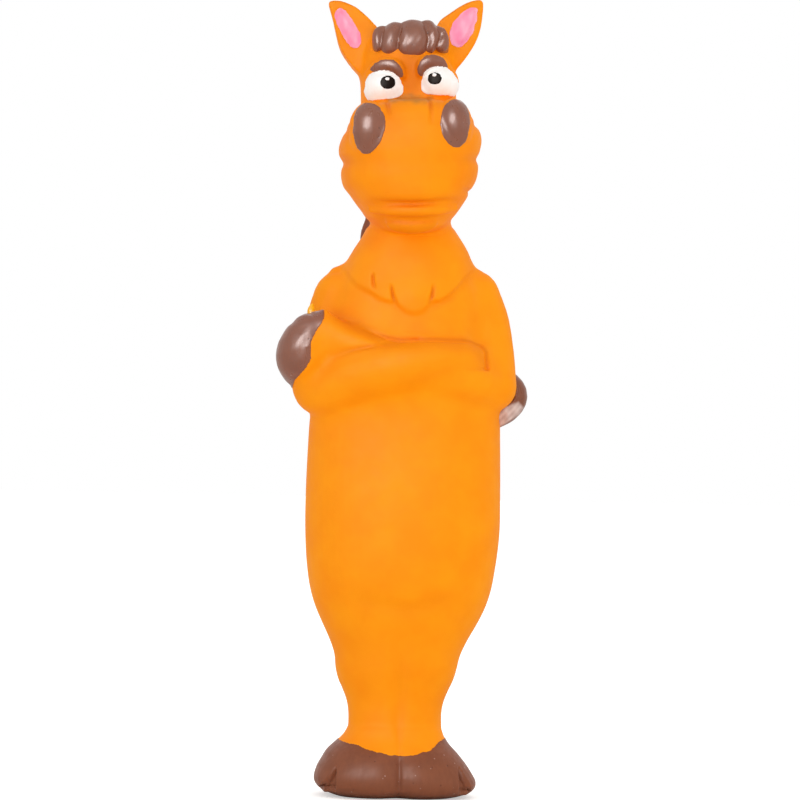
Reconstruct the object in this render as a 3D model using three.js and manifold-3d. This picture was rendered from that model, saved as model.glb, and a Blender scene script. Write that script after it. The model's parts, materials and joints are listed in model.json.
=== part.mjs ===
// Squeaky dog toy: a long latex horse that stands with its arms crossed.
// Millimetres, +Z up, the horse faces -Y. Its right arm is on the viewer's left, at -X.
import * as THREE from 'three';
import { mergeVertices } from 'three/addons/utils/BufferGeometryUtils.js';
import Module from 'manifold-3d';

const wasm = await Module();
wasm.setup();

// Fits
const gap = 0.3; // air between one moulded form and the next
const skinWall = 2; // thickness of the latex
const overrun = 6; // how far a cutting shape passes the piece that it cuts
const weldDistance = 0.00001; // points of a mesh that are nearer than this are one

// Hooves that the toy stands on
const hoofHeight = 11.2;
const hoofHalfWidth = 18.8; // from the middle of the pair to its outer side
const hoofFront = 17.2;
const hoofBack = 11;
const toeNotchRadius = 1.1;
const toeNotchHeight = 6.5;

// Legs, moulded side by side
const legHeight = 34.7;
const legHalfWidth = 20.6;
const legFront = 17.5;
const legBack = 15.5;
const legWall = 2.2;

// Hole in the soles through which the toy is stuffed
const stuffingHalfWidth = 6;
const stuffingHalfDepth = 4.6;
const stuffingForward = 2; // how far the hole lies in front of the toy's axis
const patchThickness = 2.8;

// Trunk, from the fold over the legs to the stump inside the head
const trunkHeight = 96;
const trunkHalfWidth = 23.4;
const trunkFront = 21;
const trunkBack = 17;

// Belly wall that a dog's bite presses in
const bellyHalfWidth = 16;
const bellyRise = 3.6; // from the fold over the legs to the wall's lower edge
const bellyDrop = 2.2; // from the underside of the arms down to its upper edge
const bellyCorner = 9;
const bellyTravel = 6;
const crushShare = 0.4; // how much of the depth of the wadding behind it a full bite takes up

// Ruff of long hair round the neck
const ruffSink = 3.5; // from the top of the trunk's stump down to the ruff's top
const ruffDrop = 23.7; // from the top to the tip of the middle tuft
const ruffSideRise = 11; // how much higher the ruff ends at the sides
const ruffScallop = 2.6;
const tuftGrooveShare = 0.08; // depth of the grooves between tufts
const ruffTufts = 10; // tufts all the way round
const ruffTopLift = 1.3; // how far the ruff stands out from the neck at its top
const ruffSideLift = 1.7; // the same at its lower edge, at the sides
const ruffFrontLift = 3; // the same at the front and at the back

// Arms, folded across the chest
const shoulderDrop = 24.9; // from the top of the trunk's stump
const upperArmLength = 21.5;
const elbowSink = 1.2; // how far the elbows' middle lies inside the side of the chest
const armLift = 2.4; // from the front of the chest to the middle of the crossed forearms
const armRadius = 6.3;
const handHoofRadius = 6.2;

// Head, in its own frame with its origin on the neck
const headLift = 7.5; // from the top of the trunk's stump up to the head's origin
const headTilt = THREE.MathUtils.degToRad(3.5);
const headTurn = THREE.MathUtils.degToRad(-2);
const muzzleHeight = 33.6;
const muzzleDrop = 15.8; // from the pivot down to the chin
const muzzleHalfWidth = 16.9;
const muzzleFront = 29;
const muzzleBack = 8;
const skullHeight = 44;
const skullDrop = 10.4; // from the pivot down to the nape
const skullHalfWidth = 11.6;
const skullFront = 13.6;
const skullBack = 14.5;
const mouthDrop = 8.2; // below the pivot
const mouthHalfWidth = 9.4;
const mouthGroove = 0.7;

// Features of the face
const eyeSpread = 6.5;
const eyeHeight = 20.5;
const eyeHalfWidth = 4.6;
const eyeHalfHeight = 4.2;
const eyeBulge = 3;
const eyeReachShare = 0.84; // the eyes' middle, out from the skull's middle to its front
const pupilRadius = 1.75;
const pupilInset = 0.9; // how much nearer the middle than the eye's centre
const pupilLift = 0.6; // above the eye's centre
const browRadius = 1.35;
const browRise = 5.1; // from the eye's centre to the top of the brow
const browReachShare = 0.98; // the brows' middle, out from the skull's middle to its front
const nostrilSpread = 10.1;
const nostrilHeight = 10.3;
const nostrilHalfWidth = 3.8;
const nostrilHalfHeight = 6;
const nostrilBulge = 2.8;
const nostrilReachShare = 0.83; // their middle, out from the head's middle to the muzzle's front
const nostrilSlant = THREE.MathUtils.degToRad(3.5);

// Ears, forelock, mane and tail
const earLength = 14.6;
const earRoot = 10; // from the head's middle to the root of an ear
const earRootHeight = 24.4;
const earSplay = 7.6; // how far the tip lies outside the root
const earHalfWidth = 4.7;
const earHalfThickness = 1.7;
const liningHalfLength = 5.4;
const liningHalfWidth = 2.7;
const liningOutShare = 0.48; // its middle, from the root to the tip
const liningUpShare = 0.58;
const forelockHalfWidth = 8.6;
const forelockTop = 34.2;
const forelockReach = 14.2;
const forelockFall = 5.2;
const lockRadius = 2.15; // of a lock of middling breadth
const maneHalfWidth = 10.4;
const maneFlatness = 0.36; // its thickness as a share of its width
const maneHeight = 66;
const maneReach = 16.6;
const tailRadius = 3.8;
const tailFlatness = 0.6;
const tailRise = 15; // from the fold over the legs up to the root of the tail
const tailLength = 42;

// Squeaker: a bellows between two discs, with a reed pipe in the rear disc
const squeakerRadius = 12.6;
const squeakerLength = 16.8;
const squeakerFront = 9.2; // from the toy's axis to the front disc
const discThickness = 1.7;
const pleatCount = 4;
const pleatDepth = 2.2;
const bellowsWall = 0.9;
const sleeveRadius = 4.2;
const sleeveWall = 1;
const sleeveLength = 10.4;
const sleeveInside = 4.4; // how far the sleeve reaches forward from the back of the squeaker
const sleeveFlange = 1.3;
const channelHalfWidth = 1.1;
const channelDepth = 1.7;
const reedHalfWidth = 1.5;
const reedThickness = 0.35;
const reedLift = 0.4; // air between the reed and the board at rest
const reedClamp = 2.4; // length of the reed that lies in the clamp

// Places worked out from the sizes above
const legBase = hoofHeight + gap;
const legTop = legBase + legHeight;
const trunkBase = legTop + gap;
const stumpTop = trunkBase + trunkHeight;
const ruffTop = stumpTop - ruffSink;
const shoulderHeight = stumpTop - shoulderDrop;
const bellyBase = trunkBase + bellyRise;
const bellyTop = shoulderHeight - upperArmLength - armRadius - bellyDrop;
const squeakerHeight = (bellyBase + bellyTop) / 2;
const headPivotHeight = stumpTop + headLift;

// Colours and surfaces of the real materials
const latex = { color: 0xfe9b12, roughness: 0.72, metalness: 0 };
const brownPaint = { color: 0x8a5f50, roughness: 0.42, metalness: 0 };
const whitePaint = { color: 0xf9ede4, roughness: 0.4, metalness: 0 };
const blackPaint = { color: 0x2e211a, roughness: 0.35, metalness: 0 };
const pinkPaint = { color: 0xffa2bb, roughness: 0.5, metalness: 0 };
const fibre = { color: 0xf1eee6, roughness: 0.95, metalness: 0 };
const squeakerPlastic = { color: 0xf3f3ef, roughness: 0.45, metalness: 0 };
const reedFilm = { color: 0xd9d2bd, roughness: 0.4, metalness: 0 };

// Meshes and solids

/** A closed mesh from its points and triangles, turned so that its faces point out. */
function closedGeometry(points, triangles) {
  let volume = 0;
  for (const [a, b, c] of triangles) {
    volume += points[a].dot(new THREE.Vector3().crossVectors(points[b], points[c]));
  }
  const turned = volume < 0 ? triangles.map(([a, b, c]) => [a, c, b]) : triangles;
  const geometry = new THREE.BufferGeometry().setFromPoints(points);
  geometry.setIndex(turned.flat());
  return geometry;
}

/** Joins rings of equally many points into one closed skin, with a pole at each end. */
function skinOver(rings, firstPole, lastPole) {
  const count = rings[0].length;
  const points = [firstPole, ...rings.flat(), lastPole];
  const last = points.length - 1;
  const triangles = [];
  for (let i = 0; i < count; i += 1) {
    const next = (i + 1) % count;
    triangles.push([0, 1 + next, 1 + i]);
    const end = 1 + (rings.length - 1) * count;
    triangles.push([last, end + i, end + next]);
    for (let r = 0; r + 1 < rings.length; r += 1) {
      const low = 1 + r * count;
      const high = low + count;
      triangles.push([low + i, low + next, high + i]);
      triangles.push([low + next, high + next, high + i]);
    }
  }
  return closedGeometry(points, triangles);
}

/** The solid inside a closed mesh. */
function solid(geometry) {
  const bare = geometry.clone();
  bare.deleteAttribute('normal');
  bare.deleteAttribute('uv');
  const merged = mergeVertices(bare, weldDistance);
  const mesh = new wasm.Mesh({
    numProp: 3,
    vertProperties: new Float32Array(merged.attributes.position.array),
    triVerts: new Uint32Array(merged.index.array),
  });
  mesh.merge();
  return new wasm.Manifold(mesh);
}

/** The closed mesh round a solid. */
function surface(body) {
  const mesh = body.getMesh();
  const geometry = new THREE.BufferGeometry();
  geometry.setAttribute('position', new THREE.BufferAttribute(new Float32Array(mesh.vertProperties), 3));
  geometry.setIndex(new THREE.BufferAttribute(new Uint32Array(mesh.triVerts), 1));
  geometry.computeVertexNormals();
  return geometry;
}

/** One solid less all the others. */
function cut(body, ...tools) {
  return tools.reduce((rest, tool) => rest.subtract(tool), body);
}

/** One solid out of several that meet. */
function fuse(...bodies) {
  return bodies.reduce((whole, body) => whole.add(body));
}

/** Only the largest closed piece of a solid, without slivers that a cut leaves. */
function largest(body) {
  const pieces = body.decompose();
  return pieces.reduce((best, piece) => (piece.volume() > best.volume() ? piece : best));
}

/** A point from the middle of an oval with flattened sides: roundness 2 is an ellipse. */
function ovalPoint(angle, { halfWidth, halfDepth, roundness }) {
  const bend = 2 / roundness;
  const x = Math.sign(Math.cos(angle)) * Math.abs(Math.cos(angle)) ** bend;
  const y = Math.sign(Math.sin(angle)) * Math.abs(Math.sin(angle)) ** bend;
  return [x * halfWidth, y * halfDepth];
}

/**
 * The level oval that a form has at a share of its height, grown on all sides. Each row of shares
 * holds the height, the two sides and the reach to the front and to the back, as shares of the
 * sizes in the same order.
 */
function ovalAt(rows, sizes, share, grow) {
  const values = rows.flatMap((row) => row.slice(1));
  const between = new THREE.CubicInterpolant(rows.map((row) => row[0]), values, 4, new Float64Array(4));
  const [left, right, front, back] = between.evaluate(THREE.MathUtils.clamp(share, 0, 1));
  return {
    x: (right - left) * sizes.halfWidth / 2,
    y: (back * sizes.back - front * sizes.front) / 2,
    halfWidth: (right + left) * sizes.halfWidth / 2 + grow,
    halfDepth: (back * sizes.back + front * sizes.front) / 2 + grow,
    roundness: sizes.roundness,
  };
}

/** A closed form through the level ovals of its rows, with its ends moved out by reach. */
function loft(rows, sizes, base, ways) {
  const { grow = 0, reach = 0, segments = 26 } = ways;
  const inset = Math.max(-reach, 0);
  const rings = rows.map(([share]) => {
    const oval = ovalAt(rows, sizes, share, grow);
    const height = base + inset + share * (sizes.height - 2 * inset);
    return Array.from({ length: segments }, (_, k) => {
      const [x, y] = ovalPoint((k / segments) * 2 * Math.PI, oval);
      return new THREE.Vector3(oval.x + x, oval.y + y, height);
    });
  });
  if (reach > 0) {
    const moved = (ring, rise) => ring.map((p) => new THREE.Vector3(p.x, p.y, p.z + rise));
    rings.unshift(moved(rings[0], -reach));
    rings.push(moved(rings[rings.length - 1], reach));
  }
  const middle = (ring) => ring.reduce((sum, p) => sum.add(p), new THREE.Vector3()).divideScalar(segments);
  return solid(skinOver(rings, middle(rings[0]), middle(rings[rings.length - 1])));
}

/** A limb with round ends along a smooth route, each place with its own radius. */
function limb(places, radii, { grow = 0, steps = 4, segments = 12, flatness = 1 }) {
  const route = new THREE.CatmullRomCurve3(places, false, 'centripetal');
  const spans = places.length - 1;
  const between = new THREE.CubicInterpolant(places.map((_, i) => i), radii, 1, new Float64Array(1));
  const depthwise = new THREE.Vector3(0, 1, 0);
  const ring = (t, along, shrink) => {
    const radius = between.evaluate(t * spans)[0] + grow;
    const forward = route.getTangent(t);
    const side = new THREE.Vector3().crossVectors(forward, depthwise).normalize();
    const up = new THREE.Vector3().crossVectors(side, forward).normalize();
    const centre = route.getPoint(t).addScaledVector(forward, along * radius);
    return Array.from({ length: segments }, (_, k) => {
      const angle = (k / segments) * 2 * Math.PI;
      return centre.clone()
        .addScaledVector(side, Math.cos(angle) * radius * shrink)
        .addScaledVector(up, Math.sin(angle) * radius * shrink * flatness);
    });
  };
  const rings = [];
  for (const bend of [Math.PI / 3, Math.PI / 6]) {
    rings.push(ring(0, -Math.sin(bend), Math.cos(bend)));
  }
  for (let i = 0; i <= spans * steps; i += 1) {
    rings.push(ring(i / (spans * steps), 0, 1));
  }
  for (const bend of [Math.PI / 6, Math.PI / 3]) {
    rings.push(ring(1, Math.sin(bend), Math.cos(bend)));
  }
  const start = ring(0, -1, 0)[0];
  const finish = ring(1, 1, 0)[0];
  return solid(skinOver(rings, start, finish));
}

/** An ellipsoid with its three half sizes, turned in the plane that faces the viewer. */
function ellipsoid(centre, halfSizes, { grow = 0, turn = 0, segments = 16 }) {
  const ball = new THREE.SphereGeometry(1, segments, segments / 2);
  ball.rotateX(Math.PI / 2);
  ball.scale(halfSizes.x + grow, halfSizes.y + grow, halfSizes.z + grow);
  ball.rotateY(turn);
  ball.translate(centre.x, centre.y, centre.z);
  return solid(ball);
}

/** A prism that stands on an outline in X and Z and runs from one depth to another. */
function depthPrism(outline, near, far) {
  const ways = { depth: far - near, bevelEnabled: false, curveSegments: 6 };
  const prism = new THREE.ExtrudeGeometry(outline, ways);
  prism.rotateX(Math.PI / 2);
  prism.translate(0, far, 0);
  return solid(prism);
}

/** A rectangle with round corners, as an outline. */
function roundedOutline(halfWidth, low, high, corner) {
  const outline = new THREE.Shape();
  outline.moveTo(-halfWidth + corner, low);
  outline.absarc(halfWidth - corner, low + corner, corner, -Math.PI / 2, 0, false);
  outline.absarc(halfWidth - corner, high - corner, corner, 0, Math.PI / 2, false);
  outline.absarc(-halfWidth + corner, high - corner, corner, Math.PI / 2, Math.PI, false);
  outline.absarc(-halfWidth + corner, low + corner, corner, Math.PI, 1.5 * Math.PI, false);
  return outline;
}

/** A box between two corners. */
function block(low, high) {
  const size = new THREE.Vector3().subVectors(high, low);
  const box = new THREE.BoxGeometry(size.x, size.y, size.z);
  box.translate((low.x + high.x) / 2, (low.y + high.y) / 2, (low.z + high.z) / 2);
  return solid(box);
}

/** A piece turned round the Y axis from pairs of radius and depth. */
function turned(profile, segments = 20) {
  return new THREE.LatheGeometry(profile.map(([r, y]) => new THREE.Vector2(r, y)), segments);
}

/** A named mesh in its own material. */
function piece(name, geometry, finish) {
  const mesh = new THREE.Mesh(geometry, new THREE.MeshStandardMaterial(finish));
  mesh.name = name;
  return mesh;
}

const toy = new THREE.Group();
const sides = [['left', 1], ['right', -1]];
const at = (x, y, z) => new THREE.Vector3(x, y, z);

// Trunk

const trunkShares = [
  [0.000, 0.88, 0.88, 0.83, 0.91],
  [0.030, 0.93, 0.93, 0.90, 0.95],
  [0.070, 0.96, 0.96, 0.96, 0.99],
  [0.130, 0.99, 0.99, 0.99, 1.00],
  [0.200, 1.00, 1.00, 1.00, 1.00],
  [0.280, 0.99, 0.99, 0.98, 0.98],
  [0.360, 0.97, 0.97, 0.93, 0.95],
  [0.430, 0.95, 0.95, 0.86, 0.92],
  [0.530, 0.90, 0.90, 0.78, 0.90],
  [0.640, 0.83, 0.83, 0.72, 0.90],
  [0.730, 0.80, 0.80, 0.67, 0.87],
  [0.790, 0.74, 0.74, 0.61, 0.81],
  [0.830, 0.63, 0.63, 0.53, 0.73],
  [0.870, 0.49, 0.49, 0.47, 0.64],
  [0.930, 0.40, 0.40, 0.44, 0.60],
  [1.000, 0.38, 0.38, 0.42, 0.58],
];
const trunkSizes = {
  height: trunkHeight,
  halfWidth: trunkHalfWidth,
  front: trunkFront,
  back: trunkBack,
  roundness: 2.2,
};
const trunkOval = (height, grow) => (
  ovalAt(trunkShares, trunkSizes, (height - trunkBase) / trunkHeight, grow));

/** The trunk's form, grown or shrunk sideways, with its ends moved out by reach. */
function trunkForm(grow, reach = 0) {
  const segments = grow < 0 ? 16 : 26;
  return loft(trunkShares, trunkSizes, trunkBase, { grow, reach, segments });
}

/** The stretch of the trunk that gives under a bite, from the front to a depth. */
function bellyPrism(grow, far) {
  const [low, high] = [bellyBase - grow, bellyTop + grow];
  const outline = roundedOutline(bellyHalfWidth + grow, low, high, bellyCorner + grow);
  return depthPrism(outline, -trunkFront - overrun, far);
}

const trunkHollow = trunkForm(-skinWall, overrun);
const trunkShell = cut(trunkForm(0), trunkHollow);
toy.add(piece('torso_skin', surface(cut(trunkShell, bellyPrism(gap, 0))), latex));
toy.add(piece('belly_skin', surface(trunkShell.intersect(bellyPrism(0, 0))), latex));

// Legs and hooves

const legShares = [
  [0.000, 0.650, 0.650, 0.63, 0.62],
  [0.058, 0.595, 0.595, 0.59, 0.59],
  [0.145, 0.545, 0.545, 0.56, 0.58],
  [0.255, 0.540, 0.540, 0.56, 0.60],
  [0.365, 0.590, 0.590, 0.62, 0.67],
  [0.475, 0.672, 0.672, 0.70, 0.75],
  [0.585, 0.708, 0.708, 0.75, 0.80],
  [0.695, 0.752, 0.752, 0.80, 0.85],
  [0.805, 0.855, 0.855, 0.87, 0.92],
  [0.915, 0.940, 0.940, 0.95, 0.97],
  [1.000, 0.998, 0.998, 1.00, 1.00],
];
const legSizes = {
  height: legHeight,
  halfWidth: legHalfWidth,
  front: legFront,
  back: legBack,
  roundness: 2.2,
};
const legsForm = (grow, reach) => loft(legShares, legSizes, legBase, {
  grow,
  reach,
  segments: grow < 0 ? 16 : 26,
});
const legsShell = cut(legsForm(0, 0), legsForm(-legWall, overrun));

/** All the space on one side of the toy's middle, from a given distance out. */
function sideSpace(side, from) {
  const far = legHalfWidth + overrun;
  const low = at(Math.min(side * from, side * far), -far, -overrun);
  const high = at(Math.max(side * from, side * far), far, legTop + overrun);
  return block(low, high);
}

const hoofShares = [
  [0.00, 0.00, 0.86, 0.90, 0.87],
  [0.11, 0.00, 0.95, 0.965, 0.95],
  [0.31, 0.00, 1.00, 1.00, 1.00],
  [0.45, 0.00, 1.00, 0.995, 1.00],
  [0.62, 0.00, 0.96, 0.955, 0.98],
  [0.79, 0.00, 0.90, 0.87, 0.945],
  [1.00, 0.00, 0.79, 0.71, 0.89],
];
const hoofSizes = {
  height: hoofHeight,
  halfWidth: hoofHalfWidth,
  front: hoofFront,
  back: hoofBack,
  roundness: 2.5,
};

/** The hole through which the toy is stuffed, as an upright oval. */
function stuffingHole(grow, low, high) {
  const oval = new THREE.Shape();
  oval.absellipse(0, -stuffingForward, stuffingHalfWidth + grow, stuffingHalfDepth + grow, 0, 2 * Math.PI);
  const core = new THREE.ExtrudeGeometry(oval, { depth: high - low, bevelEnabled: false, curveSegments: 10 });
  core.translate(0, 0, low);
  return solid(core);
}

const notchShares = [
  [0.80, 0.84, -0.17, 1.0],
  [0.86, 0.74, 1.00, 0.5],
];

/** The cleft at the outer front of a hoof. */
function toeNotch(side) {
  const places = notchShares.map(([out, forward, up]) => (
    at(side * out * hoofHalfWidth, -forward * hoofFront, up * toeNotchHeight)));
  return limb(places, notchShares.map((row) => row[3] * toeNotchRadius), { steps: 2, segments: 8 });
}

for (const [name, side] of sides) {
  const half = sideSpace(side, gap / 2);
  toy.add(piece(`${name}_leg`, surface(legsShell.intersect(half)), latex));
  const mirrored = hoofShares.map(([up, inner, outer, front, back]) => (
    side > 0 ? [up, inner, outer, front, back] : [up, outer, inner, front, back]));
  const foot = loft(mirrored, hoofSizes, 0, { segments: 20 }).intersect(half);
  const hoof = cut(foot, stuffingHole(0, -overrun, hoofHeight + overrun), toeNotch(side));
  toy.add(piece(`${name}_hoof`, surface(hoof), brownPaint));
}
toy.add(piece('sole_patch', surface(stuffingHole(-gap, 0, patchThickness)), latex));

// Ruff round the neck

/** The ruff's form: a collar that follows the neck and shoulders and ends in tufts. */
function ruffForm(grow) {
  const segments = 5 * ruffTufts;
  const levels = 6;
  const rings = [];
  for (let level = 0; level <= levels; level += 1) {
    const fall = level / levels;
    rings.push(Array.from({ length: segments }, (_, k) => {
      const angle = (k / segments) * 2 * Math.PI;
      const facing = Math.cos(angle);
      const tuft = Math.abs(Math.cos(angle * ruffTufts / 2)) ** 0.7;
      const sideways = 1 - Math.max(facing, 0) ** 1.5;
      const drop = ruffDrop - ruffSideRise * sideways - ruffScallop * (1 - tuft) * Math.max(facing, 0) ** 3;
      const edgeLift = THREE.MathUtils.lerp(ruffSideLift, ruffFrontLift, facing ** 2);
      const groove = 1 - (1 - tuft) * fall * tuftGrooveShare;
      const height = ruffTop + grow - (drop + 2 * grow) * fall;
      const oval = trunkOval(height, THREE.MathUtils.lerp(ruffTopLift, edgeLift, fall) + grow);
      const [x, y] = ovalPoint(angle - Math.PI / 2, oval);
      return at(oval.x + x * groove, oval.y + y * groove, height);
    }));
  }
  const foot = ruffTop - ruffDrop / 2;
  return solid(skinOver(rings, at(0, 0, ruffTop + grow), at(0, 0, foot)));
}

toy.add(piece('neck_ruff', surface(largest(cut(ruffForm(0), trunkForm(gap)))), latex));

// Arms

const chest = trunkOval(shoulderHeight - upperArmLength, 0);
const elbowSpread = chest.halfWidth - elbowSink;
const armReach = chest.halfDepth - chest.y + armLift;

/** Places on an arm from shares of the elbow's spread, the arm's reach and the upper arm's length. */
function armRoute(rows) {
  return rows.map(([out, forward, down]) => (
    at(out * elbowSpread, -forward * armReach, shoulderHeight - down * upperArmLength)));
}

const rightArmShares = [
  [-0.84, -0.05, 0.00, 0.98],
  [-0.99, 0.06, 0.40, 0.86],
  [-1.01, 0.38, 0.98, 1.00],
  [-0.60, 0.82, 0.78, 1.00],
  [-0.02, 1.00, 0.64, 0.95],
  [0.46, 0.94, 0.57, 0.76],
  [0.88, 0.72, 0.56, 0.56],
];
const leftUpperArmShares = [
  [0.84, -0.05, 0.00, 0.98],
  [1.01, 0.06, 0.37, 0.82],
  [1.00, 0.36, 0.90, 0.96],
];
const leftForearmShares = [
  [0.96, 0.40, 0.90, 0.94],
  [0.60, 0.76, 0.80, 0.90],
  [0.05, 0.84, 0.66, 0.84],
  [-0.46, 0.82, 0.50, 0.78],
  [-0.90, 0.68, 0.35, 0.75],
];
const armOf = (rows, grow) => limb(armRoute(rows), rows.map((row) => row[3] * armRadius), { grow, steps: 2 });

const rightHandShares = [
  [1.18, 0.14, 0.80, 0.70],
  [1.22, 0.14, 1.00, 0.74],
  [1.12, 0.16, 1.24, 0.50],
];
const leftHandShares = [
  [-1.04, 0.60, 0.28, 0.70],
  [-1.26, 0.54, 0.54, 1.00],
  [-1.28, 0.42, 0.74, 0.72],
];
const handOf = (rows) => limb(armRoute(rows), rows.map((row) => row[3] * handHoofRadius), { steps: 3 });

const trunkClear = fuse(trunkForm(gap), ruffForm(gap));
const leftUpperArm = armOf(leftUpperArmShares, 0);
const rightArm = largest(cut(armOf(rightArmShares, 0), trunkClear, armOf(leftUpperArmShares, gap)));
const leftForearm = cut(armOf(leftForearmShares, 0), armOf(rightArmShares, gap));
const leftArm = largest(cut(fuse(leftUpperArm, leftForearm), trunkClear));
const shownWrist = block(
  at(-elbowSpread - overrun, -armReach - overrun, shoulderHeight - upperArmLength),
  at(0, 0, shoulderHeight + overrun),
);
const leftWrist = largest(cut(leftForearm, trunkClear).intersect(shownWrist));
toy.add(piece('right_arm', surface(rightArm), latex));
toy.add(piece('left_arm', surface(leftArm), latex));
toy.add(piece('left_wrist', surface(leftWrist), latex));

const armsClear = fuse(
  armOf(rightArmShares, gap),
  armOf(leftUpperArmShares, gap),
  armOf(leftForearmShares, gap),
);
for (const [name, rows] of [['left', leftHandShares], ['right', rightHandShares]]) {
  const hand = largest(cut(handOf(rows), trunkClear, armsClear));
  toy.add(piece(`${name}_hand_hoof`, surface(hand), brownPaint));
}

// Head

const head = new THREE.Group();
head.position.set(0, 0, headPivotHeight);
head.rotation.set(0, -headTilt, headTurn, 'ZYX');
head.updateMatrixWorld(true);
toy.add(head);
const intoHead = (body) => body.transform(head.matrixWorld.clone().invert().elements);
const outOfHead = (body) => body.transform(head.matrixWorld.elements);

const muzzleShares = [
  [0.000, 0.28, 0.28, 0.68, -1.00],
  [0.036, 0.47, 0.47, 0.77, -0.50],
  [0.090, 0.60, 0.60, 0.83, 0.00],
  [0.158, 0.70, 0.70, 0.86, 0.38],
  [0.226, 0.77, 0.77, 0.89, 0.62],
  [0.304, 0.86, 0.86, 0.95, 0.75],
  [0.420, 0.96, 0.96, 0.99, 0.88],
  [0.524, 0.94, 0.94, 0.99, 0.94],
  [0.631, 1.00, 1.00, 1.00, 1.00],
  [0.753, 0.93, 0.93, 0.99, 1.00],
  [0.872, 0.83, 0.83, 0.95, 0.88],
  [0.946, 0.71, 0.71, 0.87, 0.62],
  [0.985, 0.53, 0.53, 0.74, 0.25],
  [1.000, 0.30, 0.30, 0.60, -0.12],
];
const skullShares = [
  [0.000, 0.86, 0.86, 0.50, 0.80],
  [0.190, 0.88, 0.88, 0.60, 0.84],
  [0.350, 0.93, 0.93, 0.75, 0.94],
  [0.520, 0.99, 0.99, 0.96, 0.99],
  [0.700, 1.00, 1.00, 1.00, 1.00],
  [0.830, 0.97, 0.97, 0.95, 0.95],
  [0.920, 0.86, 0.86, 0.81, 0.83],
  [0.972, 0.65, 0.65, 0.59, 0.62],
  [1.000, 0.35, 0.35, 0.33, 0.38],
];
const muzzleSizes = {
  height: muzzleHeight,
  halfWidth: muzzleHalfWidth,
  front: muzzleFront,
  back: muzzleBack,
  roundness: 2.4,
};
const skullSizes = {
  height: skullHeight,
  halfWidth: skullHalfWidth,
  front: skullFront,
  back: skullBack,
  roundness: 2.2,
};

/** The head's form in its own frame: the muzzle and the skull behind it. */
function headForm(grow) {
  const ways = { grow, reach: grow, segments: grow < 0 ? 14 : 22 };
  const muzzle = loft(muzzleShares, muzzleSizes, -muzzleDrop, ways);
  const skull = loft(skullShares, skullSizes, -skullDrop, ways);
  return fuse(muzzle, skull);
}

const mouthShares = [
  [-1.0, 0.680, 2.0],
  [-0.5, 0.845, 0.4],
  [0.0, 0.900, 0.0],
  [0.5, 0.845, 0.4],
  [1.0, 0.680, 2.0],
];

/** The groove between the lips, from one corner of the mouth to the other. */
function mouthSlit() {
  const places = mouthShares.map(([out, forward, lift]) => (
    at(out * mouthHalfWidth, -forward * muzzleFront, lift * mouthGroove - mouthDrop)));
  return limb(places, places.map(() => mouthGroove), { steps: 2, segments: 6 });
}

const neckClear = intoHead(fuse(trunkForm(gap, gap), ruffForm(gap)));
const headShell = cut(headForm(0), headForm(-skinWall), neckClear, mouthSlit());
head.add(piece('head_skin', surface(largest(headShell)), latex));
head.add(piece('head_filling', surface(largest(cut(headForm(-skinWall - gap), neckClear))), fibre));

const headClear = headForm(gap);

// Ears

const earShares = [
  [-0.22, -0.18, 1.15],
  [0.16, 0.28, 1.12],
  [0.52, 0.68, 0.86],
  [1.00, 0.98, 0.22],
];

/** An ear's form: a leaf that leans outwards. */
function earForm(side, grow) {
  const places = earShares.map(([out, up]) => (
    at(side * (earRoot + out * earSplay), 0, earRootHeight + up * earLength)));
  const radii = earShares.map((row) => row[2] * earHalfWidth);
  return limb(places, radii, { grow, steps: 2, segments: 12, flatness: earHalfThickness / earHalfWidth });
}

/** The pink hollow of an ear. */
function liningForm(side, grow) {
  const centre = at(
    side * (earRoot + liningOutShare * earSplay),
    -earHalfThickness,
    earRootHeight + liningUpShare * earLength,
  );
  const halfSizes = at(liningHalfWidth, earHalfThickness / 2, liningHalfLength);
  const lean = Math.atan2(earSplay, earLength);
  return ellipsoid(centre, halfSizes, { grow, turn: side * lean, segments: 12 });
}

for (const [name, side] of sides) {
  const ear = largest(cut(earForm(side, 0), headClear, liningForm(side, gap)));
  head.add(piece(`${name}_ear`, surface(ear), latex));
  head.add(piece(`${name}_ear_lining`, surface(largest(cut(liningForm(side, 0), headClear))), pinkPaint));
}

// Eyes, brows and nostrils

/** An eye's form: an egg set in the front of the skull. */
function eyeForm(side, grow) {
  const centre = at(side * eyeSpread, -eyeReachShare * skullFront, eyeHeight);
  return ellipsoid(centre, at(eyeHalfWidth, eyeBulge, eyeHalfHeight), { grow });
}

const browShares = [
  [0.72, 0.72, 0.55],
  [0.40, 1.00, 0.95],
  [-0.15, 1.00, 1.00],
  [-0.72, 0.78, 0.60],
];

/** A brow: a thick arch over one eye. */
function browForm(side) {
  const places = browShares.map(([out, up]) => at(
    side * (eyeSpread + out * eyeHalfWidth),
    -browReachShare * skullFront,
    eyeHeight + up * browRise,
  ));
  return limb(places, browShares.map((row) => row[2] * browRadius), { steps: 2, segments: 8 });
}

for (const [name, side] of sides) {
  const white = largest(cut(eyeForm(side, 0), headClear));
  head.add(piece(`${name}_eye_white`, surface(white), whitePaint));
  const eyeFront = eyeReachShare * skullFront + eyeBulge;
  const pupilCentre = at(side * (eyeSpread - pupilInset), -eyeFront, eyeHeight + pupilLift);
  const pupil = ellipsoid(pupilCentre, at(pupilRadius, pupilRadius / 2, pupilRadius), { segments: 12 });
  head.add(piece(`${name}_pupil`, surface(largest(cut(pupil, eyeForm(side, gap)))), blackPaint));
  const brow = largest(cut(browForm(side), headClear, eyeForm(side, gap)));
  head.add(piece(`${name}_brow`, surface(brow), brownPaint));
  const nostril = ellipsoid(
    at(side * nostrilSpread, -nostrilReachShare * muzzleFront, nostrilHeight),
    at(nostrilHalfWidth, nostrilBulge, nostrilHalfHeight),
    { turn: side * nostrilSlant },
  );
  head.add(piece(`${name}_nostril`, surface(largest(cut(nostril, headClear))), brownPaint));
}

// Forelock, mane and tail

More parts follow.
